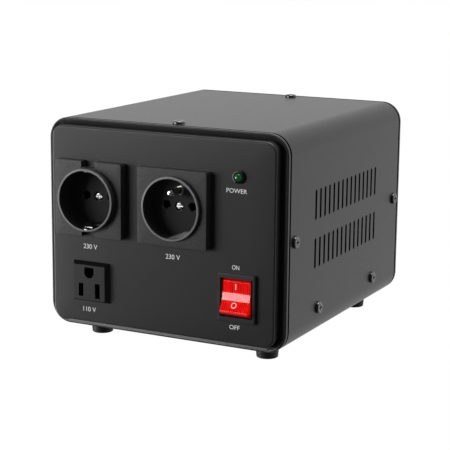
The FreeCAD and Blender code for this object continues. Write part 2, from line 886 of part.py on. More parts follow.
def make_socket_back(x, well_depth):
    """Rear cover of a socket, with the post that the centre screw bites into."""
    floor, chamber, back = socket_stations(well_depth)
    cover = rod_y(barrel_radius, back, back + socket_back_thickness, x, socket_z)
    post_front = chamber + strap_gap + strap_thickness + fit_gap
    cover = cover.fuse(rod_y(centre_screw_radius + centre_post_wall, post_front, back + 1, x, socket_z))
    bore = rod_y(centre_screw_radius + thread_clearance, post_front - 1,
                 back + socket_back_thickness - centre_post_floor, x, socket_z)
    lead_holes = [rod_y(lead_radius + lead_gap, back - 1, back + socket_back_thickness + 1,
                        *socket_lead_place(x, side)) for side in (-1, 1)]
    return cover.removeSplitter().cut([bore] + lead_holes)


def make_socket_screw(x, well_depth):
    floor, chamber, back = socket_stations(well_depth)
    seat = floor + centre_recess_depth
    end = back + socket_back_thickness - centre_post_floor - centre_screw_end_gap
    head = Part.makeCylinder(centre_head_radius, centre_head_height)
    head = head.makeFillet(centre_head_height * 0.5, edges_at(head, "z", centre_head_height))
    slot = block(-centre_head_radius, centre_head_radius, -centre_slot_width / 2, centre_slot_width / 2,
                 centre_head_height - centre_slot_depth, centre_head_height + 1)
    shank = Part.makeCylinder(centre_screw_radius, end - seat, Vector(0, 0, seat - end))
    screw = head.cut(slot).fuse(shank).removeSplitter()
    return placed(screw, Vector(x, seat, socket_z), y_axis * -1)


def strap_bore(x):
    return rod_y(centre_screw_radius + screw_hole_clearance, front_face, rear_face, x, socket_z)


def make_earth_clips():
    """One bent strip: two sprung clips in the well, joined behind its floor."""
    x = socket_f_offset
    floor, chamber, back = socket_stations(well_depth_f)
    start = chamber + strap_gap
    reach = well_radius - clip_wall_gap
    strip = block(x - strap_width / 2, x + strap_width / 2, start, start + strap_thickness,
                  socket_z - reach, socket_z + reach)
    for sign in (-1, 1):
        points = [Vector(x - strap_width / 2, y, z) for y, z in clip_outline(sign)]
        arm = Part.Face(Part.makePolygon(points + [points[0]])).extrude(Vector(strap_width, 0, 0))
        strip = strip.fuse(arm)
    return strip.removeSplitter().cut(strap_bore(x))


def make_earth_pin():
    """Round earth pin with the strip that ties it to the centre screw behind the floor."""
    x = socket_e_offset
    z = socket_z + earth_pin_offset
    floor, chamber, back = socket_stations(well_depth_e)
    start = chamber + strap_gap
    tip = floor - earth_pin_length
    pin = rod_y(earth_pin_radius, tip, start + strap_thickness, x, z)
    pin = pin.makeFillet(earth_pin_radius * 0.75, edges_at(pin, "y", tip))
    strip = block(x - strap_width / 2, x + strap_width / 2, start, start + strap_thickness,
                  socket_z - strap_width / 2, z + strap_width / 2)
    root = rod_y(earth_pin_root_radius, floor, start + strap_thickness, x, z)
    collar = rod_y(earth_collar_radius, chamber + fit_gap, start + strap_thickness, x, z)
    return strip.fuse([pin, root, collar]).removeSplitter().cut(strap_bore(x))


# Flat-blade outlet

def blade_body_width():
    return blade_bezel_width - 2 * blade_outlet_wall - blade_body_trim


def blade_body_height():
    return blade_bezel_height - 2 * blade_outlet_wall + blade_body_trim


def blade_slots():
    """Centre, height and side of the two upright blade slots."""
    row = blade_outlet_z - blade_row_drop
    left = (blade_outlet_offset - blade_spacing / 2, row, blade_slot_left)
    right = (blade_outlet_offset + blade_spacing / 2, row, blade_slot_right)
    return [left, right]


def blade_earth_centre():
    return blade_outlet_offset, blade_outlet_z - blade_row_drop + blade_earth_rise


def make_blade_body():
    bezel_front = front_face - blade_outlet_proud
    wide = outline(blade_bezel_width, blade_bezel_height, 0, front_face, blade_outlet_offset, blade_outlet_z)
    narrow = outline(blade_bezel_width - 2 * blade_bezel_bevel, blade_bezel_height - 2 * blade_bezel_bevel, 0,
                     bezel_front, blade_outlet_offset, blade_outlet_z)
    body = Part.makeLoft([wide, narrow], True, True)
    body_end = front_face + blade_outlet_depth
    body = body.fuse(slab(blade_body_width(), blade_body_height(), 0, front_face, body_end,
                          blade_outlet_offset, blade_outlet_z))
    for side in (-1, 1):
        near = blade_outlet_offset + side * (blade_body_width() / 2 - 1)
        far = blade_outlet_offset + side * (blade_body_width() / 2 + snap_proud)
        body = body.fuse(block(min(near, far), max(near, far), inside_front + fit_gap,
                               inside_front + fit_gap + snap_length,
                               blade_outlet_z - snap_width / 2, blade_outlet_z + snap_width / 2))
    cavity_front = bezel_front + blade_face_thickness
    cutters = []
    for x, z, height in blade_slots():
        cutters.append(block(x - blade_slot_width / 2, x + blade_slot_width / 2, bezel_front - 1,
                             cavity_front + 1, z - height / 2, z + height / 2))
        cutters.append(block(x - blade_cavity_width / 2, x + blade_cavity_width / 2, cavity_front, body_end + 1,
                             z - blade_cavity_height / 2, z + blade_cavity_height / 2))
    earth_x, earth_z = blade_earth_centre()
    half = blade_earth_width / 2
    cutters.append(rod_y(half, bezel_front - 1, cavity_front + 1, earth_x, earth_z))
    cutters.append(block(earth_x - half, earth_x + half, bezel_front - 1, cavity_front + 1,
                         earth_z, earth_z + half))
    cutters.append(rod_y(half + contact_wall + fit_gap, cavity_front, body_end + 1, earth_x, earth_z))
    return body.removeSplitter().cut(cutters)


def make_blade_contacts():
    """Two folded leaf contacts and the earth sleeve, each with a tail behind the rear cap."""
    cavity_front = front_face - blade_outlet_proud + blade_face_thickness
    start = cavity_front + blade_leaf_setback
    bridge = front_face + blade_outlet_depth - fit_gap
    tail_end = front_face + blade_outlet_depth + blade_back_thickness + blade_tail_length
    shapes = []
    for x, z, height in blade_slots():
        parts = []
        low = z - blade_leaf_height / 2
        high = z + blade_leaf_height / 2
        for side in (-1, 1):
            near = x + side * blade_leaf_gap / 2
            far = near + side * blade_leaf_thickness
            parts.append(block(min(near, far), max(near, far), start, bridge, low, high))
        half = blade_leaf_gap / 2 + blade_leaf_thickness
        parts.append(block(x - half, x + half, bridge - blade_leaf_thickness, bridge, low, high))
        parts.append(block(x - blade_leaf_thickness / 2, x + blade_leaf_thickness / 2, bridge - blade_leaf_root,
                           tail_end, z - blade_tail_height / 2, z + blade_tail_height / 2))
        shapes.append(parts[0].fuse(parts[1:]).removeSplitter())
    earth_x, earth_z = blade_earth_centre()
    inner = blade_earth_width / 2 - blade_sleeve_inset
    sleeve = pipe(inner + contact_wall, inner, bridge - start, Vector(earth_x, start, earth_z), y_axis)
    plug = rod_y(inner + contact_wall, bridge - 1, bridge, earth_x, earth_z)
    tail = block(earth_x - blade_leaf_thickness / 2, earth_x + blade_leaf_thickness / 2,
                 bridge - blade_leaf_root, tail_end, earth_z - blade_tail_height / 2,
                 earth_z + blade_tail_height / 2)
    shapes.append(sleeve.fuse([plug, tail]).removeSplitter())
    return group(shapes)


def make_blade_back():
    start = front_face + blade_outlet_depth
    cap = slab(blade_body_width(), blade_body_height(), 0, start, start + blade_back_thickness,
               blade_outlet_offset, blade_outlet_z)
    half_width = blade_leaf_thickness / 2 + blade_tail_gap
    half_height = blade_tail_height / 2 + blade_tail_gap
    places = [(x, z) for x, z, height in blade_slots()] + [blade_earth_centre()]
    return cap.cut([block(x - half_width, x + half_width, start - 1, start + blade_back_thickness + 1,
                          z - half_height, z + half_height) for x, z in places])


# Indicator lamp

def make_lamp_bezel():
    flange = rod_y(lamp_bezel_radius, front_face - lamp_bezel_proud, front_face, lamp_offset, lamp_z)
    flange = flange.makeFillet(lamp_bezel_proud * 0.5, edges_at(flange, "y", front_face - lamp_bezel_proud))
    body = rod_y(lamp_body_radius, front_face - 0.5, front_face + lamp_body_length, lamp_offset, lamp_z)
    bore = rod_y(lamp_lens_radius + lamp_gap, front_face - 20, front_face + lamp_body_length + 1,
                 lamp_offset, lamp_z)
    return flange.fuse(body).removeSplitter().cut(bore)


def make_lamp_lens():
    dome_y = front_face - lamp_bezel_proud - lamp_lens_proud + lamp_lens_radius
    lens = rod_y(lamp_lens_radius, dome_y, front_face + lamp_body_length - 1, lamp_offset, lamp_z)
    dome = Part.makeSphere(lamp_lens_radius, Vector(lamp_offset, dome_y, lamp_z))
    return lens.fuse(dome).removeSplitter()


def make_lamp_nut():
    start = Vector(lamp_offset, inside_front, lamp_z)
    return pipe(lamp_nut_radius, lamp_body_radius + thread_clearance, lamp_nut_length, start, y_axis)


# Rocker switch

pivot_y = front_face + rocker_pivot_depth
arm_y = front_face + arm_pivot_depth


def make_switch_housing():
    frame_front = front_face - switch_frame_proud
    frame = slab(switch_frame_width, switch_frame_height, switch_frame_radius, frame_front, front_face,
                 switch_offset, switch_z)
    frame = frame.makeFillet(switch_frame_rounding, edges_at(frame, "y", frame_front))
    body_end = front_face + switch_body_depth
    body = slab(switch_body_width, switch_body_height, 0, front_face, body_end, switch_offset, switch_z)
    housing = frame.fuse(body)
    for side in (-1, 1):
        near = switch_z + side * (switch_body_height / 2 - 1)
        far = switch_z + side * (switch_body_height / 2 + snap_proud_switch)
        housing = housing.fuse(block(switch_offset - snap_width / 2, switch_offset + snap_width / 2,
                                     inside_front + fit_gap, inside_front + fit_gap + snap_length,
                                     min(near, far), max(near, far)))
    cavity = slab(switch_opening_width, switch_opening_height, 0, frame_front - 1,
                  front_face + switch_cavity_depth, switch_offset, switch_z)
    half = switch_opening_width / 2 + rocker_pin_length
    pins = rod_x(rocker_pin_radius + rocker_pin_clearance, switch_offset - half, switch_offset + half,
                 pivot_y, switch_z)
    arm_half = switch_opening_width / 2 + rocker_pin_length
    arm_pins = rod_x(arm_pivot_radius + rocker_pin_clearance, switch_offset - arm_half,
                     switch_offset + arm_half, arm_y, switch_z)
    cutters = [cavity, pins, arm_pins]
    for x, z in terminal_places():
        half_thickness = terminal_thickness / 2 + terminal_gap
        half_width = terminal_width / 2 + terminal_gap
        cutters.append(block(x - half_thickness, x + half_thickness, front_face + switch_cavity_depth - 1,
                             body_end + 1, z - half_width, z + half_width))
    return housing.removeSplitter().cut(cutters)


def terminal_places():
    """Two poles side by side, each with an upper and a lower terminal."""
    half = (arm_length - terminal_width) / 2 + terminal_setback
    return [(switch_offset + side * arm_spacing / 2, switch_z + end * half)
            for side in (-1, 1) for end in (-1, 1)]


def rocker_cutter(points):
    """Prism across the switch from points given as distance before the pivot and height over it."""
    start = switch_offset - switch_frame_width
    corners = [Vector(start, pivot_y - ahead, switch_z + height) for ahead, height in points]
    return Part.Face(Part.makePolygon(corners + [corners[0]])).extrude(Vector(2 * switch_frame_width, 0, 0))


def rocker_blank(radius, valley, width):
    """Solid of the rocker about its pivot at no tilt: a drum with three flats as its face."""
    slope = math.radians(rocker_tilt)
    middle = rocker_middle / 2
    far = (valley + 2 * rocker_end * math.sin(slope), middle + 2 * rocker_end * math.cos(slope))
    upper = [(valley, middle), far, (3 * radius, far[1])]
    lower = [(ahead, -height) for ahead, height in reversed(upper)]
    drum = rod_x(radius, switch_offset - width / 2, switch_offset + width / 2, pivot_y, switch_z)
    behind = block(switch_offset - width, switch_offset + width, pivot_y + rocker_back_depth,
                   pivot_y + 2 * radius, switch_z - 2 * radius, switch_z + 2 * radius)
    return drum.cut([rocker_cutter(upper + lower), behind])


def rocker_returns():
    """Cutters for the flats that fall back from the two ridges."""
    slope = math.radians(rocker_tilt)
    join = math.radians(rocker_return_angle)
    ridge = (rocker_valley + rocker_end * math.sin(slope), rocker_middle / 2 + rocker_end * math.cos(slope))
    along = (ridge[0] + 3 * math.sin(slope), ridge[1] + 3 * math.cos(slope))
    foot = (rocker_radius * math.cos(join), rocker_radius * math.sin(join))
    beyond = (2 * foot[0] - ridge[0], 2 * foot[1] - ridge[1])
    upper = [ridge, along, (ridge[0], beyond[1]), beyond]
    return [rocker_cutter(upper), rocker_cutter([(ahead, -height) for ahead, height in upper])]


def tilted(shape, y, degrees):
    copy = shape.copy()
    copy.rotate(Vector(0, y, switch_z), x_axis, degrees)
    return copy


def make_rocker():
    """The rocker with its upper end pressed in, which is the ON position."""
    width = switch_opening_width - 2 * rocker_gap
    outside = rocker_blank(rocker_radius, rocker_valley, width).cut(rocker_returns())
    ridges = []
    for edge in outside.Edges:
        box = edge.BoundBox
        along_x = box.YLength < 0.01 and box.ZLength < 0.01
        if along_x and box.YMin < pivot_y - rocker_valley - 0.5:
            ridges.append(edge)
    outside = outside.makeFillet(rocker_ridge_rounding, ridges)
    inner_width = width - 2 * rocker_shell
    core = rocker_blank(rocker_radius - rocker_shell, rocker_valley - rocker_shell, inner_width)
    core_half = math.sqrt((rocker_radius - rocker_shell) ** 2 - rocker_back_depth ** 2)
    core = core.fuse(block(switch_offset - inner_width / 2, switch_offset + inner_width / 2,
                           pivot_y + rocker_back_depth - 1, pivot_y + rocker_back_depth + 1,
                           switch_z - core_half, switch_z + core_half))
    rocker = outside.cut(core)
    reach = width / 2 + rocker_gap + rocker_pin_length - rocker_pin_clearance
    for side in (-1, 1):
        near = switch_offset + side * (width / 2 - rocker_shell)
        far = switch_offset + side * reach
        rocker = rocker.fuse(rod_x(rocker_pin_radius, min(near, far), max(near, far), pivot_y, switch_z))
        x = switch_offset + side * arm_spacing / 2
        web = outside.common(block(x - rocker_web / 2, x + rocker_web / 2, pivot_y - 2 * rocker_radius,
                                   pivot_y + rocker_back_depth, switch_z - rocker_radius,
                                   switch_z + rocker_radius))
        tip = pivot_y + rocker_stem_reach - rocker_stem_radius
        stem = rod_y(rocker_stem_radius, pivot_y, tip, x, switch_z)
        rocker = rocker.fuse([web, stem, Part.makeSphere(rocker_stem_radius, Vector(x, tip, switch_z))])
    return tilted(rocker.removeSplitter(), pivot_y, -rocker_tilt)


def make_rocker_lamp():
    """Small neon lamp inside the rocker."""
    half = rocker_lamp_length / 2
    lamp = rod_x(rocker_lamp_radius, switch_offset - half, switch_offset + half, pivot_y, switch_z)
    ends = [edge for edge in lamp.Edges if edge.Closed]
    lamp = lamp.makeFillet(rocker_lamp_radius * 0.8, ends)
    return tilted(lamp, pivot_y, -rocker_tilt)


def make_contact_arms():
    """The two see-saw contacts on one spindle, closed onto the upper terminals."""
    parts = []
    for side in (-1, 1):
        x = switch_offset + side * arm_spacing / 2
        parts.append(block(x - arm_width / 2, x + arm_width / 2, arm_y - arm_thickness / 2,
                           arm_y + arm_thickness / 2, switch_z - arm_length / 2, switch_z + arm_length / 2))
    half = switch_opening_width / 2 + rocker_pin_length - rocker_pin_clearance
    spindle = rod_x(arm_pivot_radius, switch_offset - half, switch_offset + half, arm_y, switch_z)
    return tilted(spindle.fuse(parts).removeSplitter(), arm_y, rocker_tilt * arm_ratio)


def make_switch_terminals():
    lift = arm_length / 2 * math.sin(math.radians(rocker_tilt * arm_ratio))
    start = arm_y + arm_thickness / 2 + lift + arm_contact_gap
    end = front_face + switch_body_depth + terminal_length
    shapes = []
    for x, z in terminal_places():
        tab = block(x - terminal_thickness / 2, x + terminal_thickness / 2, start, end,
                    z - terminal_width / 2, z + terminal_width / 2)
        shapes.append(tab.cut(rod_x(terminal_eye_radius, x - 2, x + 2, end - terminal_eye_inset, z)))
    return group(shapes)


# Power inlet

def inlet_body_width():
    return inlet_cavity_width + 2 * inlet_wall


def inlet_body_height():
    return inlet_cavity_height + 2 * inlet_wall


inlet_front = rear_face + inlet_flange_thickness
inlet_floor = inlet_front - inlet_cavity_depth
inlet_back = inlet_floor - inlet_floor_thickness


def inlet_pin_places():
    low = inlet_z - inlet_pin_rise / 2
    return [(inlet_offset - inlet_pin_spacing / 2, low), (inlet_offset + inlet_pin_spacing / 2, low),
            (inlet_offset, inlet_z + inlet_pin_rise / 2)]


def make_inlet_body():
    body = slab(inlet_flange_width, inlet_flange_height, inlet_flange_radius, rear_face, inlet_front,
                inlet_offset, inlet_z)
    body = body.makeFillet(inlet_flange_rounding, edges_at(body, "y", inlet_front))
    body = body.fuse(slab(inlet_body_width(), inlet_body_height(), 0, inlet_back, rear_face,
                          inlet_offset, inlet_z))
    cutters = [slab(inlet_cavity_width, inlet_cavity_height, inlet_cavity_radius, inlet_floor, inlet_front + 1,
                    inlet_offset, inlet_z)]
    for x, z in inlet_pin_places():
        half_width = inlet_pin_width / 2 + inlet_pin_gap
        half_height = inlet_pin_height / 2 + inlet_pin_gap
        cutters.append(block(x - half_width, x + half_width, inlet_back - 1, inlet_floor + 1,
                             z - half_height, z + half_height))
    for side in (-1, 1):
        cutters.append(rod_y(small_screw_radius + screw_hole_clearance, rear_face - 1, inlet_front + 1,
                             inlet_offset + side * inlet_screw_spacing / 2, inlet_z))
    return body.removeSplitter().cut(cutters)


def make_inlet_pins():
    shapes = []
    for x, z in inlet_pin_places():
        pin = block(x - inlet_pin_width / 2, x + inlet_pin_width / 2, inlet_back - inlet_tail,
                    inlet_front - inlet_pin_recess, z - inlet_pin_height / 2, z + inlet_pin_height / 2)
        shapes.append(pin.makeChamfer(inlet_pin_chamfer, edges_at(pin, "y", inlet_front - inlet_pin_recess)))
    return group(shapes)


def small_screw_places():
    """Fixing screws of the power inlet, then those of the voltage selector."""
    places = [(inlet_offset + side * inlet_screw_spacing / 2, inlet_z) for side in (-1, 1)]
    return places + [(selector_offset + side * selector_screw_spacing / 2, selector_z) for side in (-1, 1)]


# Circuit breaker

def make_breaker_body():
    end = rear_face + breaker_bushing_proud
    inner = inside_rear
    bushing = rod_y(breaker_bushing_radius, inner - 1, end, breaker_offset, breaker_z)
    case = slab(breaker_body_width, breaker_body_height, breaker_body_radius, inner - breaker_body_depth, inner,
                breaker_offset, breaker_z)
    tabs = []
    for side in (-1, 1):
        z = breaker_z + side * breaker_tab_spread / 2
        tabs.append(block(breaker_offset - terminal_width / 2, breaker_offset + terminal_width / 2,
                          inner - breaker_body_depth - breaker_tab_length, inner - breaker_body_depth,
                          z - terminal_thickness / 2, z + terminal_thickness / 2))
    body = case.fuse([bushing] + tabs).removeSplitter()
    bore = rod_y(breaker_button_radius + breaker_button_gap, inner - breaker_body_depth / 2, end + 1,
                 breaker_offset, breaker_z)
    return body.cut(bore)


def make_breaker_button():
    start = inside_rear - breaker_body_depth / 2 + breaker_button_end_gap
    end = rear_face + breaker_bushing_proud + breaker_button_proud
    button = rod_y(breaker_button_radius, start, end, breaker_offset, breaker_z)
    return button.makeFillet(breaker_button_rounding, edges_at(button, "y", end))


def make_breaker_nut():
    start = Vector(breaker_offset, rear_face, breaker_z)
    nut = hexagon(2 * breaker_nut_radius * math.cos(math.radians(30)), breaker_nut_length, start, y_axis)
    return nut.cut(rod_y(breaker_bushing_radius + thread_clearance, rear_face - 1, rear_face + 20,
                         breaker_offset, breaker_z))


# Voltage selector

def make_selector_body():
    end = rear_face + selector_flange_thickness
    flange = slab(selector_flange_width, selector_flange_height, selector_flange_radius, rear_face, end,
                  selector_offset, selector_z)
    body = slab(selector_body_width, selector_body_height, 0, end - selector_body_depth, rear_face,
                selector_offset, selector_z)
    tabs = []
    for step in (-1, 0, 1):
        x = selector_offset + step * selector_tab_pitch
        tabs.append(block(x - terminal_thickness / 2, x + terminal_thickness / 2,
                          end - selector_body_depth - selector_tab_length, end - selector_body_depth,
                          selector_z - selector_tab_width / 2, selector_z + selector_tab_width / 2))
    window = slab(selector_window_width, selector_window_height, 0, end - selector_window_depth, end + 1,
                  selector_offset, selector_z)
    holes = [rod_y(small_screw_radius + screw_hole_clearance, rear_face - 1, end + 1,
                   selector_offset + side * selector_screw_spacing / 2, selector_z) for side in (-1, 1)]
    return flange.fuse([body] + tabs).removeSplitter().cut([window] + holes)


def make_selector_slider():
    """Slider at the end of its window on the left seen from the front."""
    end = rear_face + selector_flange_thickness
    left = selector_offset - selector_window_width / 2 + selector_gap
    right = left + selector_window_width - 2 * selector_gap - selector_travel
    back = end - selector_window_depth + selector_gap
    half = selector_window_height / 2 - selector_gap
    slider = block(left, right, back, back + selector_knob_depth, selector_z - half, selector_z + half)
    slider = slider.makeFillet(selector_knob_rounding, edges_at(slider, "y", back + selector_knob_depth))
    middle = (left + right) / 2
    slot_floor = back + selector_knob_depth - selector_knob_slot_depth
    slot = block(middle - selector_knob_slot / 2, middle + selector_knob_slot / 2, slot_floor, end + 1,
                 selector_z - half - 1, selector_z + half + 1)
    return slider.cut(slot)


# Transformer

winding_bottom = tray_top + pad_thickness
winding_top = winding_bottom + winding_height
washer_bottom = winding_top + pad_thickness


def ring(outer_radius, inner_radius, height, z, rounding):
    """Flat ring about the transformer's axis with rounded edges all round."""
    shape = pipe(outer_radius, inner_radius, height, Vector(0, transformer_y, z), z_axis)
    if rounding <= 0:
        return shape
    ends = edges_at(shape, "z", z) + edges_at(shape, "z", z + height)
    return shape.makeFillet(rounding, ends)


def make_core():
    z = winding_bottom + (winding_height - core_height) / 2
    return ring(core_radius, core_bore_radius, core_height, z, core_rounding)


def make_winding():
    """Copper winding round the core, bound with tape, as one closed ring with the core's space in it."""
    z = winding_bottom + (winding_height - core_height) / 2 - fit_gap
    outside = ring(winding_radius, winding_bore_radius, winding_height, winding_bottom,
                   min(winding_rounding, (winding_radius - winding_bore_radius) * 0.49))
    inside = ring(core_radius + fit_gap, core_bore_radius - fit_gap, core_height + 2 * fit_gap, z, 0)
    return outside.cut(inside)


def make_pads():
    lower = ring(pad_radius, pad_bore_radius, pad_thickness, tray_top, 0)
    upper = ring(pad_radius, pad_bore_radius, pad_thickness, winding_top, 0)
    return group([lower, upper])


def make_clamp_washer():
    """Dished steel washer that presses the transformer down."""
    top = washer_bottom + washer_thickness
    low = washer_bottom - washer_dish_depth
    profile = [(bolt_radius + screw_hole_clearance, low), (washer_seat_radius, low),
               (washer_dish_radius, washer_bottom), (washer_radius, washer_bottom), (washer_radius, top),
               (washer_dish_radius - 1.0, top), (washer_seat_radius - 1.0, low + washer_thickness),
               (bolt_radius + screw_hole_clearance, low + washer_thickness)]
    points = [Vector(radius, transformer_y, z) for radius, z in profile]
    face = Part.Face(Part.makePolygon(points + [points[0]]))
    return face.revolve(Vector(0, transformer_y, 0), z_axis, 360)


bolt_nut_seat = washer_bottom - washer_dish_depth + washer_thickness


def make_clamp_bolt():
    head = hexagon(bolt_head_width, bolt_head_height,
                   Vector(0, transformer_y, tray_bottom - bolt_head_height), z_axis)
    shank = rod_z(bolt_radius, tray_bottom - 1, bolt_nut_seat + bolt_nut_height + bolt_end, 0, transformer_y)
    return head.fuse(shank).removeSplitter()


def make_clamp_nut():
    nut = hexagon(bolt_head_width, bolt_nut_height, Vector(0, transformer_y, bolt_nut_seat), z_axis)
    return nut.cut(rod_z(bolt_radius + thread_clearance, 0, case_top, 0, transformer_y))


# Terminal block, earth stud

def block_middle_y():
    return cover_front + block_inset + block_depth / 2


def block_way_places():
    middle = block_middle_y()
    places = []
    for index in range(block_ways):
        x = (index - (block_ways - 1) / 2) * block_way_pitch
        places.append((x, middle - block_depth / 4))
        places.append((x, middle + block_depth / 4))
    return places


def make_terminal_block():
    middle = block_middle_y()
    top = tray_top + block_height
    body = block(-block_width / 2, block_width / 2, middle - block_depth / 2, middle + block_depth / 2,
                 tray_top, top)
    cutters = []
    for index in range(block_ways):
        x = (index - (block_ways - 1) / 2) * block_way_pitch
        cutters.append(rod_y(block_hole_radius, middle - block_depth, middle + block_depth,
                             x, tray_top + block_height / 2))
    for x, y in block_way_places():
        cutters.append(rod_z(block_screw_hole_radius, tray_top + block_height / 2, top + 1, x, y))
    for side in (-1, 1):
        x = side * block_fixing_offset
        cutters.append(rod_z(small_screw_radius + thread_clearance, tray_top - 1, top + 1, x, middle))
        cutters.append(rod_z(small_head_radius - block_fixing_gap, tray_top + block_height / 2, top + 1,
                             x, middle))
    return body.cut(cutters)


def make_small_screws():
    """The M3 screws of the power inlet, of the voltage selector and, from below, of the terminal block."""
    shapes = [small_screw(Vector(x, inlet_front, z), y_axis) for x, z in small_screw_places()[:2]]
    selector_front = rear_face + selector_flange_thickness
    shapes += [small_screw(Vector(x, selector_front, z), y_axis) for x, z in small_screw_places()[2:]]
    for side in (-1, 1):
        place = Vector(side * block_fixing_offset, block_middle_y(), tray_bottom)
        shapes.append(small_screw(place, z_axis * -1))
    return group(shapes)


def make_block_screws():
    end = tray_top + block_height - block_screw_recess
    half_slot = block_screw_slot_width / 2
    shapes = []
    for x, y in block_way_places():
        screw = rod_z(block_screw_radius, end - block_screw_length, end, x, y)
        slot = block(x - 2 * block_screw_radius, x + 2 * block_screw_radius, y - half_slot, y + half_slot,
                     end - block_screw_slot_depth, end + 1)
        shapes.append(screw.cut(slot))
    return group(shapes)


def make_earth_stud():
    y = cover_front + earth_stud_inset
    head = hexagon(earth_head_width, earth_head_height,
                   Vector(earth_stud_offset, y, tray_bottom - earth_head_height), z_axis)
    shank = rod_z(earth_stud_radius, tray_bottom - 1, tray_bottom + earth_stud_length, earth_stud_offset, y)
    return head.fuse(shank).removeSplitter()


def make_earth_nut():
    y = cover_front + earth_stud_inset
    nut = hexagon(earth_head_width, earth_nut_height, Vector(earth_stud_offset, y, tray_top), z_axis)
    return nut.cut(rod_z(earth_stud_radius + thread_clearance, 0, case_top, earth_stud_offset, y))


# Leads inside the case

def lead(points, radius=lead_radius):
    """Round lead along straight runs that are joined by tangent arcs."""
    edges = []
    start = points[0]
    for index in range(1, len(points) - 1):
        corner = points[index]
        before = (corner - points[index - 1]).normalize()
        after = (points[index + 1] - corner).normalize()
        half_turn = before.getAngle(after) / 2
        back = lead_bend * math.tan(half_turn)
        enter = corner - before * back
        leave = corner + after * back
        inward = (after - before).normalize()
        middle = corner + inward * (lead_bend / math.cos(half_turn) - lead_bend)
        edges.append(Part.makeLine(start, enter))
        edges.append(Part.Arc(enter, middle, leave).toShape())
        start = leave
    edges.append(Part.makeLine(start, points[-1]))
    path = Part.Wire(edges)
    first = (points[1] - points[0]).normalize()
    profile = Part.Wire([Part.makeCircle(radius, points[0], first)])
    return path.makePipeShell([profile], True, True)


def make_supply_leads():
    """Live lead to the breaker, then both poles along the right wall to the lower switch terminals."""
    inlet_y = inlet_back - inlet_tail - lead_gap
    breaker_y = inside_rear - breaker_body_depth - breaker_tab_length - lead_gap
    run_y = breaker_y - lead_bend - lead_straight
    switch_y = front_face + switch_body_depth + terminal_length + lead_gap
    (live_x, low_z), (neutral_x, low_z), (earth_x, earth_z) = inlet_pin_places()
    lower_tab = breaker_z - breaker_tab_spread / 2
    upper_tab = breaker_z + breaker_tab_spread / 2
    near_x, switch_low = terminal_places()[0]
    far_x, switch_low = terminal_places()[2]
    between_vents = case_bottom + (vent_lower_height + vent_upper_height) / 2
    exit_y = breaker_y - breaker_lead_exit
    slope_y = cover_rear - supply_slope_inset
    turn_y = cover_front + supply_turn_inset
    neutral_y = cover_front + neutral_turn_inset
    to_breaker = [Vector(live_x, inlet_y, low_z), Vector(live_x, run_y, low_z),
                  Vector(live_x, run_y, low_z + breaker_lead_rise),
                  Vector(breaker_offset, run_y, lower_tab - breaker_lead_rise),
                  Vector(breaker_offset, run_y, lower_tab), Vector(breaker_offset, breaker_y, lower_tab)]
    live = [Vector(breaker_offset, breaker_y, upper_tab), Vector(breaker_offset, exit_y, upper_tab),
            Vector(lead_wall_offset, exit_y - breaker_lead_step, upper_tab),
            Vector(lead_wall_offset, slope_y, between_vents), Vector(lead_wall_offset, turn_y, between_vents),
            Vector(near_x, turn_y, between_vents), Vector(near_x, turn_y, switch_low),
            Vector(near_x, switch_y, switch_low)]
    neutral = [Vector(neutral_x, inlet_y, low_z), Vector(neutral_x, run_y, low_z),
               Vector(lead_wall_offset, run_y - neutral_side_step, low_z),
               Vector(lead_wall_offset, neutral_y, switch_low), Vector(far_x, neutral_y, switch_low),
               Vector(far_x, switch_y, switch_low)]
    return group([lead(to_breaker), lead(live), lead(neutral)])


def make_earth_lead():
    """From the earth pin of the inlet to the stud in the tray, ending in a ring lug on the nut."""
    inlet_y = inlet_back - inlet_tail - lead_gap
    earth_x, earth_z = inlet_pin_places()[2]
    stud_y = cover_front + earth_stud_inset
    lug_z = tray_top + earth_nut_height
    run_z = lug_z + lead_radius + lead_lug_thickness / 4
    drop_x = earth_stud_offset + earth_drop_reach
    drop_y = cover_front + earth_drop_inset
    foot = Vector(drop_x, drop_y, run_z)
    towards = (Vector(earth_stud_offset, stud_y, run_z) - foot).normalize()
    end = Vector(earth_stud_offset, stud_y, run_z) - towards * (lead_lug_radius - lead_lug_overlap)
    wire = lead([Vector(earth_x, inlet_y, earth_z), Vector(earth_x, inlet_y - earth_lead_exit, earth_z),
                 Vector(lead_wall_offset, inlet_y - 2 * earth_lead_exit, earth_z),
                 Vector(lead_wall_offset, cover_front + earth_turn_inset, earth_z),
                 Vector(drop_x, drop_y, earth_z), foot, end])
    lug = pipe(lead_lug_radius, earth_stud_radius + thread_clearance, lead_lug_thickness,
               Vector(earth_stud_offset, stud_y, lug_z), z_axis)
    return wire.fuse(lug).removeSplitter()


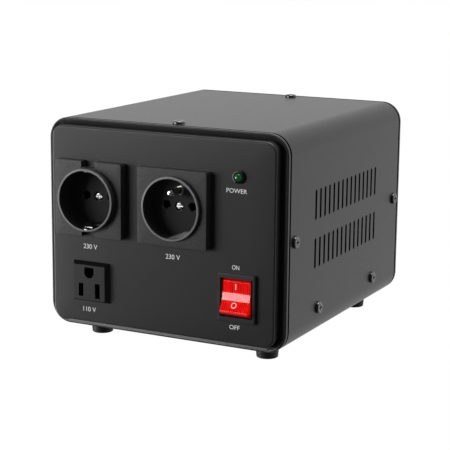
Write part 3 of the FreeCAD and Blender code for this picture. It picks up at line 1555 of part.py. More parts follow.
def make_output_leads():
    """From the front of the terminal block to the flat-blade outlet and up to the two round sockets."""
    block_front = block_middle_y() - block_depth / 2
    start_y = block_front + lead_entry
    run_y = block_front - lead_bend - lead_straight
    way_z = tray_top + block_height / 2
    ways = [x for x, y in block_way_places()[::2]]
    low_run = tray_top + block_height + block_lead_height
    shapes = []
    (left_x, row, height), (right_x, row, height) = blade_slots()
    tail_y = front_face + blade_outlet_depth + blade_back_thickness + blade_tail_length + lead_gap
    near_y = tail_y + blade_lead_reach
    turn_x = blade_outlet_offset + blade_lead_turn
    for way, tail_x, back_y in ((ways[0], right_x, near_y), (ways[1], left_x, near_y + blade_lead_step)):
        shapes.append(lead([Vector(way, start_y, way_z), Vector(way, run_y, way_z), Vector(way, run_y, low_run),
                            Vector(turn_x, back_y, low_run), Vector(tail_x, back_y, low_run),
                            Vector(tail_x, back_y, row), Vector(tail_x, tail_y, row)]))
    f_place = (socket_f_offset, well_depth_f)
    e_place = (socket_e_offset, well_depth_e)
    sockets_in_order = ((*f_place, -1, ways[2]), (*f_place, 1, ways[3]), (*e_place, -1, ways[4]),
                        (*e_place, 1, ways[5]))
    rise_z = tray_top + socket_lead_rise
    behind_y = front_face + socket_lead_setback
    for x, well_depth, side, way in sockets_in_order:
        floor, chamber, back = socket_stations(well_depth)
        end_x, end_z = socket_lead_place(x, side)
        shapes.append(lead([Vector(way, start_y, way_z), Vector(way, run_y, way_z), Vector(way, run_y, rise_z),
                            Vector(end_x, behind_y, socket_z - socket_lead_drop),
                            Vector(end_x, behind_y, end_z), Vector(end_x, back + lead_gap, end_z)]))
    return group(shapes)


def winding_start(x, rear=False):
    """Point on the shoulder of the winding at this offset, where a lead comes out of the tape."""
    across = math.sqrt((winding_radius - lead_start_inset) ** 2 - x ** 2)
    return Vector(x, transformer_y + (across if rear else -across), winding_top - lead_start_gap)


def make_transformer_leads():
    """To the terminal block, to the upper switch terminals and to the voltage selector."""
    block_rear = block_middle_y() + block_depth / 2
    run_y = block_rear + lead_bend + lead_straight
    way_z = tray_top + block_height / 2
    top_z = winding_top + way_lead_height
    shapes = []
    for x, y in block_way_places()[1::2]:
        start = winding_start(x)
        shapes.append(lead([start, Vector(x, start.y, top_z), Vector(x, run_y, top_z), Vector(x, run_y, way_z),
                            Vector(x, block_rear - lead_entry, way_z)]))
    switch_y = front_face + switch_body_depth + terminal_length + lead_gap
    upper_z = winding_top + switch_lead_height
    reach_y = switch_y + switch_lead_reach
    for step, (x, z) in enumerate((terminal_places()[1], terminal_places()[3])):
        start = winding_start(switch_lead_start + step * switch_lead_pitch)
        shapes.append(lead([start, Vector(start.x, start.y, upper_z), Vector(x, reach_y, upper_z),
                            Vector(x, reach_y, z), Vector(x, switch_y, z)]))
    selector_y = rear_face + selector_flange_thickness - selector_body_depth - selector_tab_length - lead_gap
    for step in (-1, 0, 1):
        x = selector_offset + step * selector_tab_pitch
        start = winding_start(x, True)
        shapes.append(lead([start, Vector(x, start.y, selector_z), Vector(x, selector_y, selector_z)]))
    return group(shapes)


os.makedirs("parts", exist_ok=True)


def write(name, shape):
    shape.exportStep("parts/" + name + ".step")


write("cover_shell", make_cover())
write("base_tray", make_tray())
write("front_panel", make_front_panel())
write("rear_panel", make_rear_panel())
write("panel_inserts", make_inserts())
case_screw_places = end_screw_places() + tray_screw_places() + top_screw_places() + base_screw_places()
write("case_screws", group([case_screw(*place) for place in case_screw_places]))
write("tray_nuts", make_tray_nuts())
foot_names = ["foot_front_left", "foot_front_right", "foot_rear_left", "foot_rear_right"]
for foot_name, place in zip(foot_names, foot_places()):
    write(foot_name, make_foot(*place))
write("foot_screws", make_foot_screws())
write("foot_nuts", make_foot_nuts())

write("socket_f_body", make_socket_body(socket_f_offset, well_depth_f, ring_proud_f, True))
write("socket_e_body", make_socket_body(socket_e_offset, well_depth_e, ring_proud_e, False))
sockets = {"socket_f": (socket_f_offset, well_depth_f), "socket_e": (socket_e_offset, well_depth_e)}
for socket_name, (offset, depth) in sockets.items():
    write(socket_name + "_contacts", make_socket_contacts(offset, depth))
    write(socket_name + "_back", make_socket_back(offset, depth))
    write(socket_name + "_screw", make_socket_screw(offset, depth))
write("socket_f_earth_clips", make_earth_clips())
write("socket_e_earth_pin", make_earth_pin())

write("blade_outlet_body", make_blade_body())
write("blade_outlet_contacts", make_blade_contacts())
write("blade_outlet_back", make_blade_back())

write("lamp_bezel", make_lamp_bezel())
write("lamp_lens", make_lamp_lens())
write("lamp_nut", make_lamp_nut())

write("switch_housing", make_switch_housing())
write("switch_rocker", make_rocker())
write("switch_lamp", make_rocker_lamp())
write("switch_contact_arms", make_contact_arms())
write("switch_terminals", make_switch_terminals())

write("power_inlet_body", make_inlet_body())
write("power_inlet_pins", make_inlet_pins())
write("small_screws", make_small_screws())
write("breaker_body", make_breaker_body())
write("breaker_button", make_breaker_button())
write("breaker_nut", make_breaker_nut())
write("selector_body", make_selector_body())
write("selector_slider", make_selector_slider())

write("transformer_core", make_core())
write("transformer_winding", make_winding())
write("transformer_pads", make_pads())
write("clamp_washer", make_clamp_washer())
write("clamp_bolt", make_clamp_bolt())
write("clamp_nut", make_clamp_nut())
write("terminal_block", make_terminal_block())
write("terminal_screws", make_block_screws())
write("earth_stud", make_earth_stud())
write("earth_nut", make_earth_nut())
write("supply_leads", make_supply_leads())
write("earth_lead", make_earth_lead())
write("output_leads", make_output_leads())
write("transformer_leads", make_transformer_leads())
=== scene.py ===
"""Looks of a desk-top voltage converter: paint, mouldings, metal, print and the studio round it."""

import json
import logging
import math
from dataclasses import dataclass, replace
from enum import Enum

import bmesh
import bpy
from mathutils import Matrix, Vector

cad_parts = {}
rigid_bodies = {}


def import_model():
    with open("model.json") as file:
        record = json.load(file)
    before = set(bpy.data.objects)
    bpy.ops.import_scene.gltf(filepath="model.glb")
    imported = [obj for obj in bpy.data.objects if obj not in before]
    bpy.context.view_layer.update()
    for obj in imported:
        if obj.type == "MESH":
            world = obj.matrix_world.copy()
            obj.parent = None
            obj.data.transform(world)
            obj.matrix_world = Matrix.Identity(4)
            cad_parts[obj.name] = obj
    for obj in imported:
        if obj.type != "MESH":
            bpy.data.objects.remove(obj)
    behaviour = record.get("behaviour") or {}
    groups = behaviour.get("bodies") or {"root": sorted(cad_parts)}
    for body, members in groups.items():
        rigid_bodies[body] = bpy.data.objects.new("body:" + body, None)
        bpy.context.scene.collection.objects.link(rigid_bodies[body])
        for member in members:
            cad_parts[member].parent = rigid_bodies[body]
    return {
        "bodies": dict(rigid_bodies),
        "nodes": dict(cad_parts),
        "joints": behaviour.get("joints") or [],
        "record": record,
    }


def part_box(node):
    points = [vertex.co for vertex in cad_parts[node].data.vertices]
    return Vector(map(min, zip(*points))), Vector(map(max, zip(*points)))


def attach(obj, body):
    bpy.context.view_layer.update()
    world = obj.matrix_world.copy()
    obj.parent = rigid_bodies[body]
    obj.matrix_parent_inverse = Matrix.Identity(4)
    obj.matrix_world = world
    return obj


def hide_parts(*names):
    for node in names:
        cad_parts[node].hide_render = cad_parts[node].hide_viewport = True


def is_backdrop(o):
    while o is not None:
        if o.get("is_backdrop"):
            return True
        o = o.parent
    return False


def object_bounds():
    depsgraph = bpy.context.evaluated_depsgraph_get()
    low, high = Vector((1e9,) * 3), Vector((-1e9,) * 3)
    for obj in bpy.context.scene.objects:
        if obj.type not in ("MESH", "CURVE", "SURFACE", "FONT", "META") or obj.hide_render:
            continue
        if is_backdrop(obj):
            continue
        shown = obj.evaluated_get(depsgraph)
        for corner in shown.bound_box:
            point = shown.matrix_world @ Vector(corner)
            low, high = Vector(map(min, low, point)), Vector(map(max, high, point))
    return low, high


LOG = logging.getLogger("voltage_converter")

Pair = tuple[float, float]
Triple = tuple[float, float, float]
Colour = Triple
Socket = bpy.types.NodeSocket

# Values that a noise mostly lies between, its octaves for each use, and the roughness of a dull surface
NOISE_SPAN: Pair = (0.3, 0.7)
COARSE_DETAIL = 2.0
GRAIN_DETAIL = 3.0
PATCH_DETAIL = 4.0
NO_GLOSS = 1.0


class Body(Enum):
    """Rigid bodies of the converter that carry pieces made here."""

    CASE = "case"
    ROCKER = "rocker"


class Slot(Enum):
    """Material slots of the record that pieces made here take their finish from."""

    ROCKER = "red_rocker"
    TAPE = "winding_tape"


# Node trees


class Graph:
    """A node tree under construction."""

    def __init__(self, tree: bpy.types.NodeTree) -> None:
        """Keep the tree that the nodes go into."""
        self.tree = tree

    def add(self, kind: str, **settings: object) -> bpy.types.Node:
        """Add a node and set its properties.

        Args:
            kind: Blender's name for the node's type.
            settings: Properties of the node and their values.

        Returns:
            The new node.
        """
        node = self.tree.nodes.new(kind)
        for key, value in settings.items():
            setattr(node, key, value)
        return node

    def join(self, source: Socket, target: Socket) -> None:
        """Link two sockets."""
        self.tree.links.new(source, target)

    def ramp(self, value: Socket, span: Pair, limits: Pair, soft: bool = False) -> Socket:
        """Rise from one limit to the other over a span of a value.

        Args:
            value: The value.
            span: Values at which the rise starts and ends.
            limits: Results there and beyond.
            soft: True for a rise that starts and ends gently.

        Returns:
            The result.
        """
        node = self.add("ShaderNodeMapRange", interpolation_type="SMOOTHSTEP" if soft else "LINEAR")
        node.inputs["From Min"].default_value, node.inputs["From Max"].default_value = span
        node.inputs["To Min"].default_value, node.inputs["To Max"].default_value = limits
        self.join(value, node.inputs["Value"])
        return node.outputs["Result"]


class Shader(Graph):
    """A material under construction."""

    def __init__(self, name: str) -> None:
        """Start a material with a Principled shader.

        Args:
            name: Name of the material.
        """
        self.material = bpy.data.materials.new(name)
        self.material.use_nodes = True
        super().__init__(self.material.node_tree)
        self.surface = self.tree.nodes["Principled BSDF"]
        self.place = self.add("ShaderNodeTexCoord").outputs["Object"]

    def noise(self, scale: float, detail: float, stretch: Triple = (1.0, 1.0, 1.0)) -> Socket:
        """Noise value over the piece.

        Args:
            scale: Cells per metre.
            detail: Octaves of finer noise.
            stretch: Factor along X, Y and Z.

        Returns:
            The noise value.
        """
        mapping = self.add("ShaderNodeMapping")
        mapping.inputs["Scale"].default_value = stretch
        self.join(self.place, mapping.inputs["Vector"])
        node = self.add("ShaderNodeTexNoise")
        node.inputs["Scale"].default_value = scale
        node.inputs["Detail"].default_value = detail
        self.join(mapping.outputs["Vector"], node.inputs["Vector"])
        return node.outputs["Fac"]

    def spread(self, noise: Socket, low: float, high: float) -> Socket:
        """Map a noise value to a range."""
        return self.ramp(noise, NOISE_SPAN, (low, high))

    def tint(self, value: Socket, first: Colour, second: Colour) -> None:
        """Colour the surface from one colour to another by a value between 0 and 1.

        Args:
            value: The value.
            first: Colour at 0.
            second: Colour at 1.
        """
        node = self.add("ShaderNodeMix", data_type="RGBA")
        node.inputs["A"].default_value = (*first, 1.0)
        node.inputs["B"].default_value = (*second, 1.0)
        self.join(value, node.inputs["Factor"])
        self.join(node.outputs["Result"], self.surface.inputs["Base Color"])

    def emboss(self, value: Socket, depth: float, strength: float = 1.0) -> None:
        """Raise the surface by a value, over any relief that it has already.

        Args:
            value: Height between 0 and 1.
            depth: Height of 1, in metres.
            strength: Share of the relief that shows.
        """
        bump = self.add("ShaderNodeBump")
        bump.inputs["Strength"].default_value = strength
        bump.inputs["Distance"].default_value = depth
        self.join(value, bump.inputs["Height"])
        normal = self.surface.inputs["Normal"]
        if normal.is_linked:
            self.join(normal.links[0].from_socket, bump.inputs["Normal"])
        self.join(bump.outputs["Normal"], normal)

    def compute(self, operation: str, first: Socket | float, second: Socket | float = 0.0) -> Socket:
        """Result of a sum on one or two values.

        Args:
            operation: Name of the sum, as the Math node has it.
            first: First value or socket.
            second: Second value or socket.

        Returns:
            The result.
        """
        node = self.add("ShaderNodeMath", operation=operation)
        for socket, value in zip(node.inputs, (first, second)):
            if isinstance(value, Socket):
                self.join(value, socket)
            else:
                socket.default_value = value
        return node.outputs["Value"]

    def axis(self, name: str) -> Socket:
        """One of the object coordinates.

        Args:
            name: X, Y or Z.

        Returns:
            The coordinate.
        """
        split = self.add("ShaderNodeSeparateXYZ")
        self.join(self.place, split.inputs["Vector"])
        return split.outputs[name]

    def between(self, name: str, low: float, high: float) -> Socket:
        """Share that is one where a coordinate lies between two values, and else nought.

        Args:
            name: The coordinate.
            low: The lower value.
            high: The higher value.

        Returns:
            The share.
        """
        value = self.axis(name)
        above = self.compute("GREATER_THAN", value, low)
        return self.compute("MULTIPLY", above, self.compute("LESS_THAN", value, high))

    def stripes(self, name: str, pitch: float) -> Socket:
        """Even round stripes along a coordinate.

        Args:
            name: The coordinate that they repeat along.
            pitch: Distance from one to the next, in metres.

        Returns:
            Height between 0 and 1.
        """
        turns = self.compute("MULTIPLY", self.axis(name), 2 * math.pi / pitch)
        half = self.compute("MULTIPLY", self.compute("SINE", turns), 0.5)
        return self.compute("ADD", half, 0.5)

    def reach(self, x: float, z: float) -> Socket:
        """Distance from an axis along Y.

        Args:
            x: Place of the axis.
            z: Place of the axis.

        Returns:
            The distance.
        """
        across = self.compute("SUBTRACT", self.axis("X"), x)
        height = self.compute("SUBTRACT", self.axis("Z"), z)
        return self.compute("SQRT", self.compute("ADD", self.compute("MULTIPLY", across, across),
                                                 self.compute("MULTIPLY", height, height)))

    def blend(self, name: str, share: Socket, value: object) -> None:
        """Put another value over the one that a socket of the surface has.

        Args:
            name: Name of the socket, which is linked already.
            share: Share of the new value, from 0 to 1.
            value: The new value.
        """
        target = self.surface.inputs[name]
        node = self.add("ShaderNodeMix", data_type="RGBA" if target.type == "RGBA" else "FLOAT")
        self.join(share, node.inputs["Factor"])
        self.join(target.links[0].from_socket, node.inputs["A"])
        node.inputs["B"].default_value = value
        self.join(node.outputs["Result"], target)

    def shade_by(self, share: Socket, colour: Colour) -> None:
        """Put another colour over the one there, by a share between 0 and 1."""
        self.blend("Base Color", share, (*colour, 1.0))

    def dull_by(self, share: Socket, roughness: float) -> None:
        """Put another roughness over the one there, by a share between 0 and 1."""
        self.blend("Roughness", share, roughness)

    def fix(self, **values: object) -> None:
        """Set constants on the surface, with underscores for the spaces in their names."""
        for key, value in values.items():
            self.surface.inputs[key.replace("_", " ")].default_value = value


# Finishes


@dataclass(frozen=True)
class Finish:
    """A surface finish: two colours in soft patches, gloss and the relief of its texture."""

    name: str
    colour: Colour
    shade: Colour
    roughness: float
    unevenness: float = 0.04
    grain: float = 900.0
    grain_depth: float = 0.00002
    blotch: float = 14.0
    metal: float = 0.0
    coat: float = 0.0
    coat_roughness: float = 0.1
    specular: float = 0.5

    def build(self) -> bpy.types.Material:
        """Build the material.

        Returns:
            The material.
        """
        shader = Shader(self.name)
        self.lay(shader)
        return shader.material

    def lay(self, shader: Shader) -> None:
        """Lay the whole finish."""
        grain = shader.noise(self.grain, GRAIN_DETAIL)
        self.cover(shader, self.patches(shader), grain, grain)

    def patches(self, shader: Shader) -> Socket:
        """Share of the second colour, in soft patches."""
        return shader.spread(shader.noise(self.blotch, PATCH_DETAIL), 0.0, 1.0)

    def cover(self, shader: Shader, pattern: Socket, grain: Socket, relief: Socket) -> None:
        """Lay the two colours, the gloss and the relief.

        Args:
            shader: Shader of the new material.
            pattern: Share of the second colour, from 0 to 1.
            grain: Noise that the gloss follows.
            relief: Height of the relief, from 0 to 1.
        """
        shader.tint(pattern, self.colour, self.shade)
        gloss = shader.spread(grain, self.roughness - self.unevenness, self.roughness + self.unevenness)
        shader.join(gloss, shader.surface.inputs["Roughness"])
        if self.grain_depth > 0:
            shader.emboss(relief, self.grain_depth)
        shader.fix(Metallic=self.metal, Coat_Weight=self.coat, Coat_Roughness=self.coat_roughness,
                   Specular_IOR_Level=self.specular)


@dataclass(frozen=True)
class GlowFinish(Finish):
    """Finish that is lit a little from inside, and may be translucent."""

    glow: Colour = (0.5, 0.01, 0.01)
    glow_strength: float = 0.5
    see_through: float = 0.0

    def lay(self, shader: Shader) -> None:
        """Lay the finish and light it.

        Args:
            shader: Shader of the new material.
        """
        super().lay(shader)
        shader.fix(Emission_Color=(*self.glow, 1.0), Emission_Strength=self.glow_strength,
                   Transmission_Weight=self.see_through)


@dataclass(frozen=True)
class RibbedGlowFinish(GlowFinish):
    """Lit translucent plastic with fine ribs moulded on its inside, and painted shade that darkens both ends.
    """

    rib_pitch: float = 0.0013
    rib_depth: float = 0.00005
    rib_strength: float = 0.35
    rib_shade: float = 0.9
    rib_and_end_shade_colour: Colour = (0.12, 0.001, 0.001)
    patch_grain: float = 700.0
    patch_stretch: Triple = (1.0, 1.0, 0.15)
    patch_low: float = 0.15
    upper_end: float = 1.0
    lower_end: float = -1.0
    end_shade: float = 0.62

    def lay(self, shader: Shader) -> None:
        """Lay the lit finish, then the ribs and the painted shade of the ends, which darken its colour and
        its light.

        Args:
            shader: Shader of the new material.
        """
        super().lay(shader)
        ribs = shader.stripes("X", self.rib_pitch)
        shader.emboss(ribs, self.rib_depth, self.rib_strength)
        noise = shader.noise(self.patch_grain, COARSE_DETAIL, self.patch_stretch)
        patches = shader.spread(noise, self.patch_low, 1.0)
        shade = shader.compute("MULTIPLY", shader.compute("MULTIPLY", ribs, patches), self.rib_shade)
        # Painted shade at both ends, beyond the ridges, in the colour and in the glow.
        height = shader.axis("Z")
        ends = shader.compute("MAXIMUM", shader.compute("GREATER_THAN", height, self.upper_end),
                              shader.compute("LESS_THAN", height, self.lower_end))
        shade = shader.compute("MAXIMUM", shade, shader.compute("MULTIPLY", ends, self.end_shade))
        shader.shade_by(shade, self.rib_and_end_shade_colour)
        glow = shader.compute("MULTIPLY", shader.compute("SUBTRACT", 1.0, shade), self.glow_strength)
        shader.join(glow, shader.surface.inputs["Emission Strength"])


@dataclass(frozen=True)
class BandFinish(Finish):
    """Finish whose two colours lie in bands, such as wound strip or two-coloured insulation."""

    bands: float = 120.0
    waviness: float = 0.4

    def lay(self, shader: Shader) -> None:
        """Lay the bands.

        Args:
            shader: Shader of the new material.
        """
        wave = shader.add("ShaderNodeTexWave", wave_type="BANDS", bands_direction="DIAGONAL")
        wave.inputs["Scale"].default_value = self.bands
        wave.inputs["Distortion"].default_value = self.waviness
        shader.join(shader.place, wave.inputs["Vector"])
        bands = wave.outputs["Fac"]
        self.cover(shader, bands, shader.noise(self.grain, COARSE_DETAIL), bands)


@dataclass(frozen=True)
class JointShadeFinish(Finish):
    """Finish with painted shade, dark and dull, where it faces the joint between an end panel and the cover.
    """

    shade_limit_front: float = 0.0
    shade_limit_rear: float = 0.0
    shade_inside: bool = True
    joint_shade_colour: Colour = (0.0005, 0.0005, 0.0005)

    def lay(self, shader: Shader) -> None:
        """Lay the finish, then the painted shade of the joints.

        Args:
            shader: Shader of the new material.
        """
        super().lay(shader)
        # Painted shade in the joint: dark and dull within the two limits on the panels, and outside them on
        # the cover's cut ends.
        share = shader.between("Y", self.shade_limit_front, self.shade_limit_rear)
        if not self.shade_inside:
            share = shader.compute("SUBTRACT", 1.0, share)
        shader.shade_by(share, self.joint_shade_colour)
        shader.dull_by(share, NO_GLOSS)


@dataclass(frozen=True)
class OpeningShadeFinish(Finish):
    """Finish with painted shade, dark and dull, on the walls of a rectangular opening and along its left
    edge, over the highlight that edge would catch.
    """

    low_x: float = 0.0
    high_x: float = 0.0
    low_z: float = 0.0
    high_z: float = 0.0
    shaded_left_edge: float = -1.0
    wall_shade_colour: Colour = (0.001, 0.001, 0.001)

    def lay(self, shader: Shader) -> None:
        """Lay the finish, then the painted shade of the opening and its left edge.

        Args:
            shader: Shader of the new material.
        """
        super().lay(shader)
        # Painted shade on the opening's walls, and along the left edge over its highlight.
        inside = shader.compute("MULTIPLY", shader.between("X", self.low_x, self.high_x),
                                shader.between("Z", self.low_z, self.high_z))
        edge = shader.compute("LESS_THAN", shader.axis("X"), self.shaded_left_edge)
        share = shader.compute("MAXIMUM", inside, edge)
        shader.shade_by(share, self.wall_shade_colour)
        shader.dull_by(share, NO_GLOSS)


@dataclass(frozen=True)
class WellFinish(Finish):
    """Moulding finish of a round outlet: a textured plate, a ring lip painted pale as a highlight, and a
    polished well.
    """

    centre_x: float = 0.0
    centre_z: float = 0.0
    plate_colour: Colour = (0.062, 0.061, 0.062)
    speckle_colour: Colour = (0.012, 0.012, 0.012)
    speckle: float = 0.9
    well_radius: float = 0.0194
    lip_radius: float = 0.0207
    lip_highlight_colour: Colour = (0.26, 0.255, 0.26)
    polish: float = 0.08

    def lay(self, shader: Shader) -> None:
        """Lay the well's finish, and the plate and the lip round it, with the lip's painted highlight.

        Args:
            shader: Shader of the new material.
        """
        reach = shader.reach(self.centre_x, self.centre_z)
        well = shader.compute("LESS_THAN", reach, self.well_radius)
        lip = shader.compute("SUBTRACT", shader.compute("LESS_THAN", reach, self.lip_radius), well)
        plate = shader.compute("SUBTRACT", 1.0, well)
        grain = shader.noise(self.grain, GRAIN_DETAIL)
        self.cover(shader, self.patches(shader), grain, shader.compute("MULTIPLY", grain, plate))
        shader.shade_by(plate, self.plate_colour)
        speckle = shader.compute("MULTIPLY", shader.spread(grain, 0.0, self.speckle), plate)
        shader.shade_by(speckle, self.speckle_colour)
        # Painted highlight: the rounded ring lip is coloured pale for the light it catches.
        shader.shade_by(lip, self.lip_highlight_colour)
        shader.dull_by(well, self.polish)


# Cover and panels carry painted shade in the joints between them, laid out in Case.
COVER = JointShadeFinish("case_paint", (0.013, 0.013, 0.0135), (0.016, 0.0155, 0.016), 0.34, 0.05, 1400.0,
                      0.00001, specular=0.45, shade_inside=False)
PANEL = JointShadeFinish("panel_plastic", (0.022, 0.0217, 0.022), (0.026, 0.0256, 0.026), 0.48, 0.05, 1900.0,
                      0.00003, coat=0.3, coat_roughness=0.16, specular=0.4)
ROUND_OUTLET = WellFinish("round_outlet_moulding", (0.045, 0.044, 0.045), (0.052, 0.051, 0.052), 0.44, 0.08,
                          1500.0, 0.00005, specular=0.45)
OUTLET = Finish("outlet_moulding", (0.006, 0.006, 0.0061), (0.008, 0.0078, 0.008), 0.42, 0.05, 1600.0,
                0.000012, coat=0.3, coat_roughness=0.14, specular=0.4)
SWITCH_FRAME = OpeningShadeFinish("switch_moulding", (0.03, 0.0295, 0.03), (0.036, 0.0354, 0.036), 0.45, 0.05,
                             1600.0, 0.000012, coat=0.3, coat_roughness=0.14, specular=0.4)
GLOSS_BLACK = Finish("gloss_black_moulding", (0.006, 0.006, 0.0062), (0.008, 0.0078, 0.008), 0.2, 0.04, 900.0,
                     0.000004)
RUBBER = Finish("foot_rubber", (0.008, 0.008, 0.008), (0.012, 0.012, 0.012), 0.6, 0.08, 1500.0, 0.00003)
PAD = Finish("pad_rubber", (0.03, 0.03, 0.03), (0.045, 0.045, 0.045), 0.7, 0.08, 1200.0, 0.00004)
BLACK_STEEL = Finish("blackened_steel", (0.13, 0.125, 0.125), (0.18, 0.17, 0.17), 0.2, 0.05, 1500.0, 0.000006,
                     metal=1.0)
ZINC = Finish("zinc_plate", (0.55, 0.56, 0.56), (0.42, 0.44, 0.47), 0.34, 0.1, 600.0, 0.00001, 60.0, 1.0)
STEEL = Finish("bright_steel", (0.72, 0.71, 0.70), (0.62, 0.61, 0.61), 0.28, 0.08, 900.0, 0.00001, 40.0, 1.0)
NICKEL = Finish("nickel_plate", (0.74, 0.72, 0.70), (0.64, 0.62, 0.60), 0.2, 0.06, 700.0, 0.000006, 60.0, 1.0)
BRASS = Finish("brass", (0.72, 0.53, 0.24), (0.58, 0.40, 0.16), 0.26, 0.07, 700.0, 0.000008, 50.0, 1.0)
# Contacts darkened as painted shade deep inside the pin holes.
PAINTED_SHADE_BRASS = Finish("painted_shade_brass", (0.05, 0.044, 0.036), (0.08, 0.07, 0.056), 0.4, 0.08, 700.0, 0.000008, 50.0,
                    1.0)
GREEN = GlowFinish("green_lens", (0.003, 0.05, 0.016), (0.004, 0.08, 0.026), 0.1, 0.03, 600.0, 0.0,
                   coat=0.6, coat_roughness=0.04, glow=(0.004, 0.16, 0.05), glow_strength=0.22,
                   see_through=0.3)
RED = RibbedGlowFinish("red_rocker", (0.62, 0.004, 0.004), (0.74, 0.006, 0.004), 0.14, 0.04, 500.0, 0.000003,
                       coat=1.0, coat_roughness=0.05, specular=0.08, glow=(1.0, 0.002, 0.0005),
                       glow_strength=0.66, see_through=0.05)
GLASS = GlowFinish("lamp_glass", (0.8, 0.4, 0.2), (0.9, 0.5, 0.3), 0.05, 0.02, 300.0, 0.0,
                   glow=(1.0, 0.25, 0.08), glow_strength=1.2, see_through=0.9)
BUTTON = Finish("button_plastic", (0.012, 0.012, 0.012), (0.018, 0.018, 0.018), 0.3, 0.05, 900.0, 0.000006)
RED_SLIDER = Finish("slider_plastic", (0.42, 0.012, 0.012), (0.5, 0.02, 0.018), 0.3, 0.05, 900.0, 0.000006)
CORE = BandFinish("core_strip", (0.22, 0.22, 0.23), (0.14, 0.14, 0.15), 0.35, 0.08, 900.0, 0.00003, metal=1.0,
                  bands=900.0)
TAPE = Finish("winding_tape", (0.62, 0.40, 0.07), (0.50, 0.28, 0.04), 0.22, 0.06, 300.0, 0.00002, 40.0,
              coat=0.5)
BLOCK = Finish("block_plastic", (0.62, 0.61, 0.56), (0.68, 0.67, 0.62), 0.4, 0.05, 900.0, 0.00001)
LEAD = Finish("lead_sleeve", (0.14, 0.045, 0.018), (0.18, 0.06, 0.022), 0.4, 0.06, 800.0, 0.00001)
EARTH = BandFinish("earth_sleeve", (0.10, 0.36, 0.05), (0.75, 0.6, 0.03), 0.4, 0.06, 800.0, 0.00001,
                   bands=40.0)
# Printed ink with painted light: its glow brightens the print beyond what the lamps give.
INK_WITH_PAINTED_GLOW = GlowFinish("print_ink_painted_glow", (0.78, 0.78, 0.79), (0.84, 0.84, 0.84), 0.55, 0.05, 1500.0, 0.000003,
                 glow=(0.9, 0.88, 0.9), glow_strength=0.22)
MARK = GlowFinish("mark_white", (0.85, 0.74, 0.74), (0.9, 0.80, 0.80), 0.4, 0.05, 900.0, 0.0,
                  glow=(1.0, 0.55, 0.55), glow_strength=0.35)
PAPER = GlowFinish("floor_paper", (0.0, 0.0, 0.0), (0.01, 0.01, 0.01), 0.9, 0.02, 200.0, 0.0, specular=0.0,
                   glow=(1.0, 1.0, 1.0), glow_strength=1.0)

SLOT_FINISHES: dict[str, Finish] = {
    "case_paint": COVER, "panel_plastic": PANEL, "outlet_plastic": OUTLET, "foot_rubber": RUBBER,
    "pad_rubber": PAD, "black_screw_steel": BLACK_STEEL, "zinc_steel": ZINC, "plain_steel": STEEL,
    "nickel_plate": NICKEL, "brass": BRASS, "green_lens": GREEN, "red_rocker": RED, "lamp_glass": GLASS,
    "button_plastic": BUTTON, "red_slider": RED_SLIDER, "core_steel": CORE, "winding_tape": TAPE,
    "block_plastic": BLOCK, "lead_sleeve": LEAD, "earth_lead_sleeve": EARTH,
}


# Meshes and layouts


def link_mesh(name: str, mesh: bpy.types.Mesh) -> bpy.types.Object:
    """Put a mesh into the scene as an object at the origin.

    Args:
        name: Name of the object.
        mesh: Its mesh.

    Returns:
        The object.
    """
    piece = bpy.data.objects.new(name, mesh)
    bpy.context.scene.collection.objects.link(piece)
    return piece


def tube(name: str, rows: list[list[Vector]], ring: bool = False, smooth: bool = False) -> bpy.types.Mesh:
    """Closed mesh through rows of points, with its normals turned outwards.

    Args:
        name: Name of the mesh.
        rows: Rows of equally many points, each a closed loop.
        ring: True to join the last row to the first, and else both ends are capped.
        smooth: True to shade it smooth.

    Returns:
        The mesh.
    """
    count = len(rows[0])
    total = count * len(rows)
    faces = [] if ring else [tuple(range(count)), tuple(range(total - count, total))]
    for low in range(0, total if ring else total - count, count):
        high = (low + count) % total
        for step in range(count):
            after = (step + 1) % count
            faces.append((low + step, low + after, high + after, high + step))
    mesh = bpy.data.meshes.new(name)
    mesh.from_pydata([tuple(point) for row in rows for point in row], [], faces)
    work = bmesh.new()
    work.from_mesh(mesh)
    bmesh.ops.recalc_face_normals(work, faces=work.faces)
    work.to_mesh(mesh)
    work.free()
    for face in mesh.polygons:
        face.use_smooth = smooth
    return mesh


class Layout(Graph):
    """A geometry node tree under construction, with geometry in and out and named sizes."""

    def __init__(self, name: str) -> None:
        """Start a tree.

        Args:
            name: Name of the tree.
        """
        super().__init__(bpy.data.node_groups.new(name, "GeometryNodeTree"))
        for way in ("INPUT", "OUTPUT"):
            self.tree.interface.new_socket("Geometry", in_out=way, socket_type="NodeSocketGeometry")
        self.start = self.add("NodeGroupInput")
        self.end = self.add("NodeGroupOutput")

    def size(self, name: str, kind: str) -> bpy.types.NodeTreeInterfaceSocket:
        """Add a named input of a socket type."""
        return self.tree.interface.new_socket(name, in_out="INPUT", socket_type=kind)

    def wire(self, *links: tuple[bpy.types.Node, str | int, bpy.types.Node, str | int]) -> None:
        """Link nodes, each link as a node, its output, the next node and its input."""
        for source, output, target, place in links:
            self.join(source.outputs[output], target.inputs[place])


